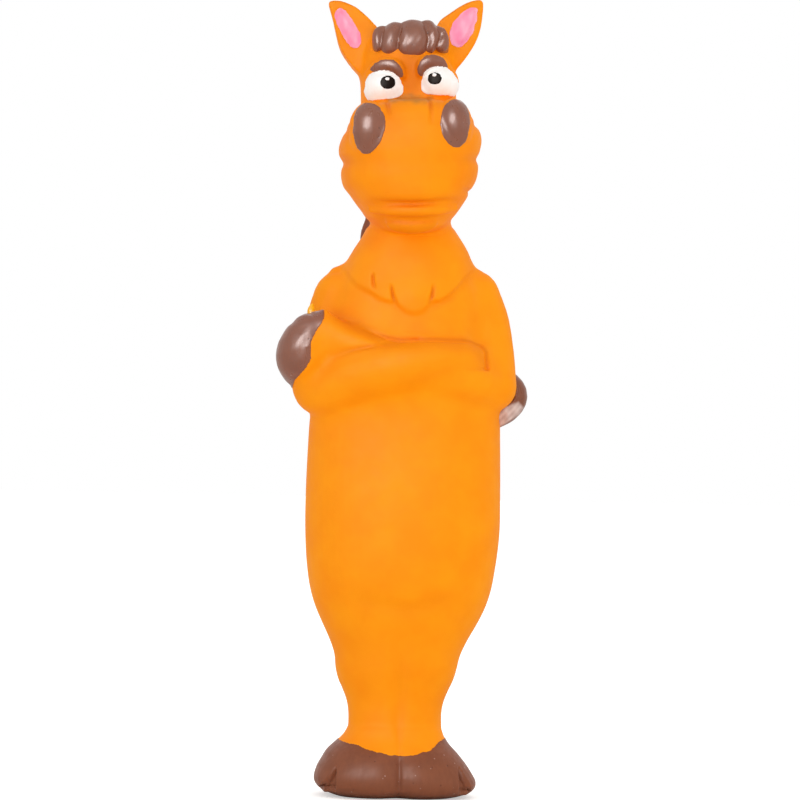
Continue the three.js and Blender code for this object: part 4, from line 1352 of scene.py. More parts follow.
        soft = (
            Crease(((330, 313, 0.1, 1.6), (340, 317, 0.6, 1.8), (356, 325, 0.9, 1.9), (372, 334, 0.7, 1.6),
                    (386, 341, 0.45, 1.6), (420, 344, 0.35, 1.8), (460, 345, 0.3, 1.8), (478, 349, 0.3, 1.6),
                    (484, 362, 0.2, 1.4)), 17, 0.0, 1.6),
            Crease(((342, 592, 0.0, 2.6), (362, 600, 0.28, 2.3), (385, 607, 0.36, 2.1), (405, 610, 0.38, 2.0),
                    (425, 608, 0.36, 2.1), (446, 601, 0.28, 2.3), (462, 592, 0.0, 2.6)), 18, 0.0),
            Crease(((399, 630, 0.0, 2.4), (400, 660, 0.4, 2.3), (400, 690, 0.7, 2.0), (399, 720, 0.7, 1.5),
                    (399, 738, 0.3, 0.6), (398.5, 752, 0.2, 0.5)), 12, 0.0, 0.4),
            Crease(((425, 391, 0.0, 1.8), (445, 397, 0.2, 1.7), (468, 402, 0.3, 1.6), (490, 406, 0.2, 1.5)),
                   17, 0.0),
        )
        hoofs = np.max([inside(skin.co[:, [0, 2]], seen(outline, 14.0)) for outline in self.notches], axis=0)
        close = np.min([crease.across(skin)[0] for crease in cuts], axis=0)
        skin.refine((close < 1.1) | ((hoofs > -0.7) & (skin.co[:, 1] < -2)))
        for crease in soft:
            crease.press(skin)
        for crease in cuts:
            crease.press(skin)
        skin.smooth(12, ease(skin.near((-17.5, -12, 112.5), (8, 8, 5)) * 2.5), keep=False)
        Crease(((474, 300, 0.0, 2.4), (476, 318, 0.35, 2.2), (478, 338, 0.5, 2.0)), 12, 0.2).press(skin)
        behind = (skin.co[:, 1] > 0) & (skin.co[:, 2] < 44)
        cleft = np.exp(-(skin.co[:, 0] / 2.2) ** 2) * ease((44 - skin.co[:, 2]) / 24)
        skin.push(-0.8 * cleft * behind)

    def dent_hand(self, skin: Skin) -> None:
        """Gives the left hand's hoof the uneven form of a small casting.

        Args:
            skin: the skin.
        """
        hand = ease(skin.near((-24.4, -11, 106.5), (6.6, 9, 10)) * 3)
        skin.push(0.15 * hand * ragged(skin.co[:, [0, 2]], 2.2, 0.6))
        Crease(((288, 313, 0.0, 0.9), (292.5, 322, 0.12, 0.9), (298, 326, 0.0, 0.9)), 11, 0.2).press(skin)
        Crease(((309, 309.5, 0.6, 0.4), (310, 314, 0.4, 0.4), (312.5, 318, 0.0, 0.5)), 12, 0.0).press(skin)

    def cleave(self, skin: Skin) -> None:
        """Parts the two hooves at the front and the back and cuts the notch beside each toe.

        Args:
            skin: the skin.
        """
        low = ease((12.6 - skin.co[:, 2]) / 3)
        off = skin.co[:, 0] - self.middle
        soft, sharp = np.exp(-(off / 3.2) ** 2), np.exp(-(off / 0.55) ** 2)
        sides = np.abs(skin.normals()[:, 1])
        skin.push(-low * sides * (0.9 * soft + 0.75 * sharp))
        under = skin.normals()[:, 2] < -0.6
        skin.co[:, 2] += under * low * 0.3 * np.exp(-(off / 3.5) ** 2)
        for outline in self.notches:
            flat = skin.co[:, [0, 2]]
            deep = ease(inside(flat, seen(outline, 14.0)) / 0.5 + 0.4) * (skin.co[:, 1] < -4)
            skin.push(-1.2 * deep * (skin.normals()[:, 1] < 0.3) * (skin.normals()[:, 2] > -0.8))
        for ridge in (((333.5, 772, 0.0, 0.4), (331, 780, -0.45, 0.45), (328, 788, -0.6, 0.5),
                       (327, 794, -0.3, 0.5)),
                      ((462, 773, 0.0, 0.4), (463.6, 780, -0.45, 0.45), (466, 788, -0.6, 0.5),
                       (467, 794, -0.3, 0.5))):
            Crease(ridge, 14, 0.0, 0.0).press(skin)
        skin.smooth(4, ((skin.co[:, 2] < 9) & (np.abs(off) > 12) & (skin.co[:, 1] < 0)).astype(float))

    def build(self, box: Paintbox) -> None:
        """Builds the body, its painted hooves and its soft belly wall.

        Args:
            box: the materials.
        """
        skin = self.sculpt()
        painted = Hooves(self).build(skin, box)
        under = ease(painted / 1.2 - 0.3)
        skin.smooth(12, under, keep=False)
        skin.push(-0.8 * under)
        skin.push(-0.5 * ease((skin.co[:, 2] - 135.6) / 2.5))
        self.part_belly(skin, box)

    def belly_faces(self, bm: bmesh.types.BMesh, forward: float) -> list[bmesh.types.BMFace]:
        """Finds the faces of the belly that lie in front of a place.

        Args:
            bm: the skin.
            forward: the place's distance in front of the axis.

        Returns:
            The faces.
        """
        middles = ((face, face.calc_center_median()) for face in bm.faces)
        return [face for face, middle in middles
                if middle.y < -forward and self.dent_low < middle.z < self.dent_top]

    def part_belly(self, skin: Skin, box: Paintbox) -> None:
        """Cuts the skin along the edge of the part that gives, and makes both pieces.

        Args:
            skin: the whole skin.
            box: the materials.
        """
        skin.store()
        bm = bmesh.new()
        bm.from_mesh(skin.mesh)
        # The painted shade of the folds goes along into both pieces.
        layer = bm.verts.layers.float.new("fold")
        for vert, share in zip(bm.verts, skin.paint["fold"]):
            vert[layer] = share
        reach = self.belly_faces(bm, 12)
        geom = list({item for face in reach for item in (*face.verts, *face.edges)}) + reach
        bmesh.ops.bisect_plane(bm, geom=geom, dist=1e-4, plane_co=(0, -self.dent_from, 0),
                               plane_no=(0, -1, 0))
        bm.normal_update()
        ways = [vert.normal.copy() for vert in bm.verts]
        keep = bm.verts.layers.float_vector.new("way")
        for vert, way in zip(bm.verts, ways):
            vert[keep] = way
        wall = set(self.belly_faces(bm, self.dent_from))
        front = min(vert.co.y for face in wall for vert in face.verts) + 0.4
        for name, body, dropped in (
            ("body_skin_moulding", Body.TOY, list(wall)),
            ("belly_wall_moulding", None, [face for face in bm.faces if face not in wall]),
        ):
            part = bm.copy()
            part.faces.ensure_lookup_table()
            gone = {face.index for face in dropped}
            bmesh.ops.delete(part, geom=[face for face in part.faces if face.index in gone], context="FACES")
            rim = [edge for edge in part.edges if edge.is_boundary]
            made = bmesh.ops.extrude_edge_only(part, edges=rim)["geom"]
            for vert in made:
                if isinstance(vert, bmesh.types.BMVert):
                    vert.co.y += self.dent_pocket
            rim = [edge for edge in part.edges if edge.is_boundary]
            bmesh.ops.triangle_fill(part, use_beauty=True, edges=rim)
            bmesh.ops.recalc_face_normals(part, faces=part.faces)
            layer = part.verts.layers.float_vector["way"]
            directions = [Vector(vert[layer]) for vert in part.verts]
            part.verts.layers.float_vector.remove(layer)
            piece = box.show(to_mesh(part, name), name, LATEX, body=body)
            piece.data.normals_split_custom_set_from_vertices([tuple(way) for way in directions])
            if body is None:
                start = AXIS + Vector((0, -self.dent_from, 68)) * MM
                end = AXIS + Vector((0, front, 68)) * MM
                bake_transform(piece, Body.TOY.value, Body.BELLY.value, start, end)
                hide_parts("belly_skin")
            else:
                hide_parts("torso_skin", "left_leg", "right_leg", "neck_ruff",
                            "left_arm", "left_wrist", "right_arm")
        bm.free()


@dataclass
class Hooves:
    """The painted hooves of the feet and of the hands."""

    body: BodySkin
    voxel: float = 0.3
    drop_voxel: float = 0.14
    right_hand: Sequence[Sequence[float]] = (
        (23.0, -2.4, 99.2, 4.2), (24.8, -3.0, 96.2, 4.7), (24.5, -3.2, 94.2, 3.9), (22.4, -3.2, 91.4, 2.7),
        (21.5, -3.4, 89.8, 1.5),
    )
    drop: Sequence[Sequence[float]] = (
        (-23.2, -9.4, 116.7, 0.55), (-23.4, -9.8, 115.4, 0.95), (-22.8, -10.4, 114.2, 0.95),
        (-21.5, -11.1, 113.7, 0.6),
    )
    wrist: Sequence[Sequence[float]] = (
        (300, 300), (318, 307), (324, 309.5), (324.5, 315), (322.5, 321), (318, 328), (313.6, 333.6),
        (311, 340), (310, 346), (310.5, 354), (309.5, 361), (304.6, 369), (300, 374), (296.5, 378),
        (294, 384), (292, 395), (255, 395), (255, 320),
    )
    tread: Sequence[Sequence[float]] = (
        (300, 741), (338, 741.5), (343.6, 742.7), (350, 744.4), (357.5, 744.6), (363, 747.6), (369.5, 749.4),
        (375, 751.6), (381.5, 751.8), (388, 754.2), (396, 754.7), (405, 754.6), (415, 753.8), (422, 751.4),
        (429.5, 750.6), (435, 746), (441.5, 741.5), (446, 741), (500, 741),
    )

    def build(self, skin: Skin, box: Paintbox) -> np.ndarray:
        """Lays the paint of three hooves on the body and adds the fourth.

        Args:
            skin: the body.
            box: the materials.

        Returns:
            How deep each point of the body lies inside the paint.
        """
        edge = seen(self.tread, 10.5)
        height = np.interp(skin.co[:, 0], edge[:, 0], edge[:, 1])
        feet = height - skin.co[:, 2] + 0.12 * ragged(skin.co[:, [0, 1]], 1.1, 2.0)
        painted = np.where(skin.co[:, 2] < 30, feet, -9.0)
        for name, side in (("left", 1), ("right", -1)):
            depth = np.minimum(painted, side * (skin.co[:, 0] - self.body.middle) + 0.2)
            film = PaintFilm(f"{name}_hoof_painted", edge, BROWN, (f"{name}_hoof",), 0.14, fine=True)
            film.cut(skin, depth, box)
        hand = self.hand(skin)
        film = PaintFilm("left_hand_hoof_painted", edge, LIT_FACE_BROWN, ("left_hand_hoof",), 0.14, fine=True)
        film.cut(skin, hand, box)
        self.right_hand_hoof(box)
        self.fleck(box)
        return np.maximum(painted, hand)

    def fleck(self, box: Paintbox) -> None:
        """Adds the drop of yellow latex that hangs on above the left hand.

        Args:
            box: the materials.
        """
        clay = Clay()
        clay.limb(self.drop, 0.2, (1, 0.7, 1))
        skin = clay.skin(self.drop_voxel)
        skin.smooth(6)
        skin.settle(box, "yellow_latex_drop", YELLOW)

    def hand(self, skin: Skin) -> np.ndarray:
        """How deep each point lies inside the paint of the left hand.

        Args:
            skin: the skin.

        Returns:
            The depths.
        """
        rows = smooth_curve([(i, *row) for i, row in enumerate(self.body.left_hand)], 0.1)[:, 1:]
        close = np.full(len(skin.co), -9.0)
        for x, y, z, radius in rows:
            gap = np.linalg.norm(skin.co - np.array((x, y, z)), axis=1)
            close = np.maximum(close, radius + 1.9 - gap)
        spur = 2.6 - np.linalg.norm(skin.co - np.array(self.body.spur), axis=1)
        close = np.maximum(close, spur)
        flat = skin.co[:, [0, 2]]
        depth = inside(flat, rounded(seen(self.wrist, 13.0), 1)) + 0.1 * ragged(flat, 1.0, 3.0)
        return np.minimum(depth, 3 * close)

    def right_hand_hoof(self, box: Paintbox) -> None:
        """Builds the hoof that shows behind the left upper arm.

        Args:
            box: the materials.
        """
        clay = Clay()
        clay.limb(self.right_hand, 0.6, (1, 0.95, 1))
        skin = clay.skin(self.voxel * ROUGH)
        skin.smooth(10)
        way = np.array(Vector((-0.25, -0.8, -0.54)).normalized())
        over = (skin.co - np.array((24.6, -6.6, 92.4))) @ way
        skin.push(-np.maximum(over, 0) * 0.9, np.tile(way, (len(skin.co), 1)))
        Crease(((514.5, 389, 0.5, 0.35), (511, 399, 0.7, 0.4), (504, 404, 0.7, 0.4), (498, 409, 0.6, 0.4),
                (495.5, 416, 0.4, 0.4)), 5, 0.1).press(skin)
        facet = seen(((518.5, 400), (526, 408), (521, 415.5), (508.3, 424), (497, 433), (491, 430),
                      (494, 416), (503, 406)), 6)
        # Painted highlight: the lower facet is painted pale pinkish.
        facet_highlight = ease(inside(skin.co[:, [0, 2]], facet) / 0.8) * (skin.normals()[:, 1] < 0)
        skin.paint["facet_highlight"] = facet_highlight * (0.75 + 0.25 * ragged(skin.co[:, [0, 2]], 0.8, 1.0))
        skin.smooth(1)
        skin.settle(box, "right_hand_hoof_painted", FACET_HIGHLIT_BROWN, ["right_hand_hoof"])


# The head


@dataclass
class HeadSkin:
    """The moulded head with its ears, in its own frame on the neck."""

    body: BodySkin
    voxel: float = 0.36
    tilt: float = 3.5
    turn: float = -2.0
    height: float = 150.0
    muzzle: Sequence[Sequence[float]] = (
        (-15.6, 3.4, 3.6, 20.6, 6.0), (-14.8, 6.4, 6.4, 22.2, 7.0), (-13.2, 8.6, 8.4, 23.4, 8.0),
        (-11.5, 10.9, 10.1, 24.4, 8.0), (-9.6, 12.2, 11.6, 25.2, 8.0), (-7.7, 13.6, 12.9, 26.8, 8.0),
        (-5.7, 14.9, 14.0, 27.4, 8.0), (-3.9, 16.2, 15.1, 27.7, 8.0), (-2.0, 16.7, 15.7, 28.1, 8.0),
        (-0.1, 16.7, 15.9, 28.3, 8.0), (1.7, 16.3, 15.9, 28.5, 8.0), (3.7, 17.0, 16.5, 28.7, 8.0),
        (5.6, 17.0, 16.9, 28.7, 8.0), (7.5, 16.3, 16.7, 28.5, 8.0), (9.4, 15.3, 15.8, 28.0, 8.0),
        (11.3, 14.3, 14.9, 27.2, 8.0), (13.0, 12.8, 13.6, 26.2, 7.5), (14.4, 10.8, 11.6, 24.4, 6.0),
        (15.3, 8.0, 8.8, 22.0, 4.0), (15.9, 5.0, 5.0, 19.0, 2.0),
    )
    skull: Sequence[Sequence[float]] = (
        (-14.0, 7.8, 8.2, 7.5, 11.6), (-2.0, 9.9, 9.9, 8.2, 12.4), (6.0, 10.6, 11.0, 10.5, 13.6),
        (12.0, 11.0, 11.8, 12.6, 14.2), (19.0, 10.9, 11.9, 13.3, 14.5), (25.0, 10.7, 11.4, 12.8, 14.0),
        (29.4, 9.6, 10.2, 11.4, 12.2), (32.0, 7.8, 8.2, 9.0, 9.8), (33.4, 5.0, 5.2, 5.6, 6.4),
    )
    ear_outlines: Sequence[Sequence[Sequence[float]]] = (
        ((328.2, 2.0), (334, 0.6), (341, 1.2), (348, 3.6), (355.5, 7.2), (365, 15), (373, 23.5), (382, 34),
         (386, 50), (384, 70), (376, 86), (366, 84), (360.5, 76), (354, 69.5), (348.6, 62.5), (343, 54.5),
         (339.4, 47), (336, 33), (333.2, 20), (330.3, 10)),
        ((483, 0.4), (482.2, 14.7), (480, 29.4), (475.6, 42.4), (467.6, 55.8), (458.6, 67.2), (450.5, 75),
         (444, 84), (434, 72), (430, 50), (434, 32), (438.7, 22), (443.6, 18), (453.3, 11.4), (463, 5),
         (473, 1.2)),
    )

    @property
    def place(self) -> Matrix:
        """Where the head stands in the toy's frame."""
        lean = Matrix.Rotation(-math.radians(self.tilt), 4, "Y")
        turn = Matrix.Rotation(math.radians(self.turn), 4, "Z") @ lean
        return Matrix.Translation((0, 0, self.height)) @ turn

    def sculpt(self) -> Skin:
        """Presses the masses together and works the face in.

        Returns:
            The skin.
        """
        clay = Clay()
        clay.loft([Oval(*row) for row in smooth_curve(self.skull, 0.8)])
        clay.loft([Oval(*row) for row in smooth_curve(self.muzzle, 0.8)], 2.35)
        lift = self.body.ruff_lift
        neck = [Oval(row[0], *(size + lift for size in row[1:])) for row in smooth_curve(self.body.rows, 1.0)
                if 128 < row[0] < 151]
        clay.loft(neck, place=self.place.inverted())
        self.add_features(clay)
        self.add_ears(clay)
        skin = clay.skin(self.voxel * ROUGH)
        skin.smooth(5)
        self.soften(skin)
        self.fold(skin)
        skin.smooth(2)
        self.stain(skin)
        return skin

    def add_features(self, clay: Clay) -> None:
        """Adds the mounds of the nostrils, the lower lip, the chin, the eyes and the brows.

        Args:
            clay: the masses.
        """
        clay.ball((-10.1, -21.9, 8.8), (4.9, 6.3, 6.7), (0, 6, 0))
        clay.ball((9.9, -21.9, 9.2), (4.4, 6.3, 6.2), (0, -5, 0))
        clay.ball((-5.5, -10.7, 19.3), (5.1, 4.4, 4.7))
        clay.ball((7.3, -10.7, 19.9), (4.8, 4.4, 4.7))
        clay.ball((-0.8, -20.4, -13.2), (6.2, 3.4, 2.9))
        for brow in (
            ((-9.3, -10.2, 22.6, 1.0), (-7.3, -12.2, 24.1, 1.5), (-4.9, -13.2, 24.6, 1.7),
             (-2.7, -13.6, 23.8, 1.6), (-1.5, -13.4, 22.0, 1.1)),
            ((2.9, -13.4, 22.4, 1.1), (3.7, -13.6, 24.3, 1.6), (5.7, -13.4, 25.1, 1.7),
             (7.8, -12.4, 24.8, 1.5), (9.7, -10.8, 23.4, 1.0)),
        ):
            clay.limb(brow, 0.4)
        clay.limb(((-9.9, -18.6, -9.8, 1.1), (-5.4, -23.1, -10.4, 1.6), (-0.4, -24.3, -10.7, 1.75),
                   (4.8, -23.1, -10.6, 1.6), (9.2, -18.6, -10.1, 1.1)), 0.4, (1, 1.0, 0.88))

    def add_ears(self, clay: Clay) -> None:
        """Adds the two ears, broad leaves that run into the sides of the head."""
        for outline in self.ear_outlines:
            clay.plate(rounded(seen(outline, -0.5, self.place), 1), (-4.4, -1.2), (5.0, 1.6))

    def soften(self, skin: Skin) -> None:
        """Lets the ears, brows and nostril mounds run into the head.

        Args:
            skin: the skin.
        """
        blade = ease((skin.co[:, 2] - 26) / 4) * ease((np.abs(skin.co[:, 0]) - 8) / 3)
        skin.smooth(24, blade)
        root = ease((skin.co[:, 2] - 14) / 4) * ease((np.abs(skin.co[:, 0]) - 6) / 3) * (skin.co[:, 1] > -9)
        skin.fill(60, root)
        mounds = ease(skin.near((0, -24, 7), (22, 14, 14)) * 2.0)
        skin.fill(36, 0.9 * mounds)
        brows = ease(skin.near((0, -12, 25), (14, 7, 5)) * 2.0)
        skin.fill(14, brows)
        seam = ease(skin.near((0.6, -14, 15.6), (15, 8, 4)) * 2.5)
        skin.fill(80, seam)
        x, y, z = skin.co.T
        chin = np.exp(-(((x + 0.8) / 8) ** 2)) * (y < -8)
        skin.fill(110, ease((-11 - z) / 3) * (1 - 0.85 * chin) * (y < 4))

    def fold(self, skin: Skin) -> None:
        """Works in the mouth, the chin, the bridge, the wrinkles of the cheeks and the ears' hollows.

        Args:
            skin: the skin.
        """
        place = self.place
        folds = (
            Crease(((376, 200.4, 0.05, 0.4), (389, 202.9, 0.35, 0.4), (411, 204, 0.45, 0.4),
                    (431, 202.6, 0.35, 0.4), (456, 199, 0.05, 0.4)), 26, 0.0, 1.1),
            Crease(((374, 199, 0.1, 0.9), (389, 201.6, 0.22, 0.9), (411, 202.6, 0.28, 0.9),
                    (431, 201.4, 0.22, 0.9), (456, 197.8, 0.1, 0.9)), 26, 0.0, 2.2),
            Crease(((376, 216, 0.05, 0.7), (388, 219.2, 0.3, 0.65), (412, 221.2, 0.4, 0.65),
                    (435, 219.4, 0.3, 0.65), (449, 216, 0.05, 0.7)), 25, 0.0),
            Crease(((388.5, 97, 0.2, 0.5), (388, 103, 0.65, 0.5), (388.1, 111, 0.4, 0.6),
                    (388, 120, 0.0, 0.8)), 25, 0.0),
            Crease(((430, 95, 0.2, 0.5), (430.8, 102, 0.65, 0.5), (431, 112, 0.5, 0.5), (431, 126, 0.0, 0.6)),
                   25, 0.0),
            Crease(((338, 159.5, 0.55, 0.9), (350, 161, 0.35, 1.1), (366, 165, 0.15, 1.8),
                    (410, 168, 0.15, 2.4), (452, 165, 0.15, 1.8), (467, 159.5, 0.35, 1.1),
                    (482, 157.5, 0.5, 0.9)), 22, 0.0, fade=15.0),
            Crease(((340, 127.5, 0.5, 0.8), (349, 129, 0.3, 0.9), (355, 133, 0.0, 1.0)), 16, 0.0, fade=15.0),
            Crease(((482, 122.5, 0.5, 0.8), (472, 125, 0.3, 0.9), (466, 129, 0.0, 1.0)), 16, 0.0, fade=15.0),
            Crease(((476, 192.5, 0.7, 0.6), (466, 190.5, 0.3, 0.6), (460, 189, 0.0, 0.6)), 16, 0.0,
                   fade=12.0),
        )
        fine = folds[:5]  # the mouth, the chin and the bridge of the nose
        skin.refine(np.min([crease.across(skin, place)[0] for crease in fine], axis=0) < 1.1)
        for crease in folds:
            crease.press(skin, place)
        for outline in EAR_LININGS.values():
            depth = inside(skin.co[:, [0, 2]], rounded(seen(outline, 1.5, place)))
            hollow = ease(depth / 1.8 + 0.15) * (skin.normals()[:, 1] < 0) * (skin.co[:, 2] > 24)
            skin.push(1.0 * hollow, np.tile((0.0, 1.0, 0.0), (len(skin.co), 1)))
        skin.smooth(2)

    def stain(self, skin: Skin) -> None:
        """Marks the grey smudge that the painter's brush left on the bridge of the nose, and painted shade
        between the brows, on the chin and along the ears' top edges.

        Args:
            skin: the skin.
        """
        flat = skin.co[:, [0, 2]]
        outline = seen(((386, 96), (392, 92.5), (402, 91), (418, 91), (430, 92), (437, 96), (432, 100),
                        (424, 105.5), (410, 105), (396, 103), (388, 102)), 20, self.place)
        depth = inside(flat, rounded(outline)) + 0.5 * ragged(flat, 1.6, 1.0)
        # Painted shade: darker amber between the brows, on the chin and along the top edges of the ears.
        brow = ease(skin.near((0.4, -13, 22.5), (4.6, 6, 8)) * 1.6) * (skin.co[:, 1] < -6)
        skin.mark("fold", 0.8 * brow)
        skin.mark("fold", 0.4 * ease(skin.near((-0.8, -22, -13.4), (8, 6, 3.8)) * 2))
        top = ease(skin.normals()[:, 2] * 2 - 0.5) * ease((skin.co[:, 2] - 27) / 2)
        rim = top * (np.abs(skin.co[:, 0]) > 9)
        skin.mark("fold", 0.7 * rim)
        skin.paint["stain"] = ease(depth / 1.6 + 0.25) * (skin.co[:, 1] < -8) * 0.7

    def build(self, box: Paintbox) -> Skin:
        """Builds the head.

        Args:
            box: the materials.

        Returns:
            The sculpted skin, for paint to be laid on.
        """
        skin = self.sculpt()
        low = (skin.co @ np.array(self.place.to_3x3()).T)[:, 2] + self.height
        skin.push(-0.4 * ease((135.0 - low) / 3))
        shown = skin.copy()
        shown.paint = dict(skin.paint)
        shown.settle(box, "head_skin_moulding", SHADED_FACE_LATEX, ["head_skin", "left_ear", "right_ear"],
                     place=self.place)
        return skin


def egg(centre: tuple[float, float], half: tuple[float, float], corners: int = 28) -> np.ndarray:
    """An oval outline round a centre, as rows of pixels across and down."""
    angle = np.linspace(0, 2 * np.pi, corners, endpoint=False)
    return np.column_stack((centre[0] + np.cos(angle) * half[0], centre[1] + np.sin(angle) * half[1]))


# Outlines of the face's paint, as pixels across and down the photograph.
EAR_LININGS = {
    "right": ((334.3, 12.2), (335.9, 9), (340, 7.3), (344.9, 9), (350.6, 16.3), (356.3, 26.1), (361.2, 35.9),
              (361.7, 44), (357.9, 48.6), (352.2, 48.9), (345.7, 42.4), (340, 31), (335, 19.6)),
    "left": ((477.8, 8.2), (472.9, 6.2), (466.4, 9), (459.9, 13.9), (452.5, 22.8), (448.8, 32.6),
             (448.8, 40.8), (451.7, 46.5), (457.4, 48.6), (463.1, 46.5), (470.5, 37.5), (475.4, 26.1),
             (477.8, 16.3)),
}
EYE_WHITES = {
    "right": ((365.2, 91.4), (366, 81.6), (369, 73.5), (375.5, 70.3), (382, 69), (390, 70), (396.6, 73.8),
              (400.4, 77), (401.5, 81.6), (403.9, 86.5), (404, 91.4), (401, 95.6), (395, 98), (387, 98.8),
              (380, 99.4), (372, 99.6), (366.4, 98.4)),
    "left": ((420.8, 87), (421.9, 80), (423.4, 72.4), (427, 68.4), (434.4, 65.2), (441.9, 65.3),
             (446.4, 66.6), (451.4, 71), (456, 76), (459.4, 82), (460.8, 92), (457.4, 95.8), (450.1, 95.2),
             (441.9, 94.9), (433.8, 94.6), (426, 93.4), (422, 91)),
}
BROWS = {
    "right": ((370.2, 69.5), (371, 67.3), (375, 63), (380.5, 60), (387, 58.6), (393.5, 59.6), (399, 63.5),
              (402.6, 69), (404, 75), (400.6, 77.6), (396, 76.4), (391, 72.8), (384, 71), (376.5, 72.4)),
    "left": ((417.6, 72.6), (417.4, 68.6), (419, 63.4), (422, 58), (427, 55.2), (432, 54.4), (440, 55.8),
             (445, 59.4), (448, 64.4), (448.4, 68.8), (443, 68.8), (437, 67), (430.5, 67.6), (425.5, 71.2),
             (423, 75.6), (419.4, 75.6)),
}
NOSTRILS = {
    "right": ((371.3, 102), (378.8, 105), (383.8, 112.5), (386.3, 122.5), (384.5, 132.5), (380.5, 142.5),
              (374.5, 150), (368.1, 154.2), (361.5, 152.2), (356.2, 145), (353.6, 133), (353.8, 121),
              (355.6, 112), (359, 105.5), (364.4, 102.2)),
    "left": ((452.5, 99), (459.9, 98.6), (465.8, 102.5), (469.3, 111.5), (470, 122.5), (468.3, 135),
             (463.4, 145), (457, 148.4), (449.5, 145.4), (443.2, 138), (440, 128), (440.4, 117.5),
             (442.6, 110.5), (446.2, 103.6)),
}
PUPILS = {"right": ((387.9, 82.2), (7.4, 6.6)), "left": ((435.2, 78.4), (6.7, 6.0))}  # middles, half sizes


@dataclass
class FacePaint:
    """The films of paint on the head: the eyes, the brows, the nostrils and the ears."""

    def build(self, head: HeadSkin, skin: Skin, box: Paintbox) -> None:
        """Lays the films.

        Args:
            head: the head, for its place.
            skin: its skin.
            box: the materials.
        """
        place = head.place
        for name in ("left", "right"):
            seed = 1.0 if name == "left" else 2.3
            for label, outline, forward, finish, lift, rag, rag_size, limit in (
                ("eye_white", EYE_WHITES, 15, WHITE, 0.16, 0.1, 0.7,
                 lambda s: (-0.03 - s.normals()[:, 1]) * 5),
                ("brow", BROWS, 15, LIT_FACE_BROWN, 0.12, 0.12, 0.6, None),
                ("nostril", NOSTRILS, 27, LIT_FACE_BROWN, 0.14, 0.1, 1.2,
                 lambda s: s.near((0, -24, 9), (21, 9, 14)) * 8),
                ("ear_lining", EAR_LININGS, 1.5, PINK, 0.1, 0.18, 0.9, lambda s: s.co[:, 2] - 24),
            ):
                edge = rounded(seen(outline[name], forward, place))
                film = PaintFilm(f"{name}_{label}_painted", edge, finish, (f"{name}_{label}",), lift, rag,
                                 rag_size, seed, limit)
                film.lay(skin, box, place)
        for name, (centre, half) in PUPILS.items():
            PaintFilm(f"{name}_pupil_painted", seen(egg(centre, half), 16, place), BLACK, (f"{name}_pupil",),
                      lift=0.3, rag=0.03, rag_size=0.6, under=0.17, fine=True).lay(skin, box, place)
            glint = (centre[0] - 0.4, centre[1] - 3.4)
            PaintFilm(f"{name}_eye_glint", seen(egg(glint, (2.2, 1.8)), 16, place), WHITE,
                      lift=0.46, rag=0.02, rag_size=0.6, under=0.31, fine=True).lay(skin, box, place)


@dataclass
class Forelock:
    """The rolls of hair that hang over the forehead, moulded on in one band and painted."""

    voxel: float = 0.24
    outline: Sequence[Sequence[float]] = (
        (375.2, 30), (377.4, 25.8), (382, 23.2), (387, 22.2), (392.6, 20.8), (401.4, 19.8), (409, 18.8),
        (415.5, 18), (423, 18), (429, 18.2), (434.6, 19.6), (439.4, 22.6), (443.8, 25.8), (446.8, 31),
        (448.2, 38), (447.6, 46), (443.8, 49.8), (437.2, 51), (433, 51), (429.5, 52.4), (423.2, 54.8),
        (417.6, 56.8), (412, 57.6), (405.6, 56.6), (400.7, 53.6), (396.5, 51.8), (392.3, 51.8), (384, 51.6),
        (378, 50.8), (375.6, 48.4), (375, 38),
    )
    grooves: Sequence[Sequence[Sequence[float]]] = (
        ((389, 12), (386.7, 22.6), (383.2, 28.2), (381.6, 35.2), (380.7, 43.7), (381.3, 60)),
        ((403, 10), (402, 20.1), (400.6, 28.2), (398.9, 35.2), (397.4, 43), (398.6, 60)),
        ((419, 10), (422, 18.4), (425.6, 24), (427.8, 31), (428.8, 38), (428.1, 44.4), (425.3, 60)),
        ((432, 10), (436.6, 20.5), (440.4, 27.5), (441.4, 33.8), (440.3, 40.2), (437.6, 46.5), (434.6, 60)),
    )
    middle: float = 1.2
    roll: float = 1.15

    def build(self, head: HeadSkin, box: Paintbox) -> None:
        """Builds the forelock.

        Args:
            head: the head, for its place.
            box: the materials.
        """
        clay = Clay()
        clay.plate(rounded(seen(self.outline, 13.0, head.place), 1), (-11.0, -9.6), (-3.0, -1.0))
        skin = clay.skin(self.voxel * ROUGH)
        x, y, z = skin.co.T.copy()
        low, high = z.min(), z.max()
        front = ease((-4 - y) / 5)
        up = (z - (0.45 * high + 0.55 * low)) / (high - low) * 2
        skin.co[:, 1] += front * (2.6 * ((x - self.middle) / 9.6) ** 2 - 2.4 * (1 - up ** 2))
        skin.co[:, 2] -= 0.05 * np.maximum(y + 10.5, 0) ** 2 * ease((z - low) / 4)
        skin.smooth(45, keep=False)
        flat = skin.co[:, [0, 2]]
        gap = np.min([to_line(flat, seen(groove, 13.0, head.place))[0] for groove in self.grooves], axis=0)
        gap += 0.12 * ragged(flat, 1.4, 2.0)
        parted = 1 - 0.55 * ease((skin.co[:, 2] - high + 2.6) / 2.4)
        swell = self.roll * (1 - (1 - np.clip(gap / 2.1, 0, 1)) ** 2.4) - 0.6
        skin.push(parted * swell + 0.2 * (1 - parted))
        skin.smooth(3)
        skin.push(0.05 * ragged(flat, 1.1, 2.0))
        skin.settle(box, "forelock_painted", LIT_FACE_BROWN, ["forelock"], place=head.place)


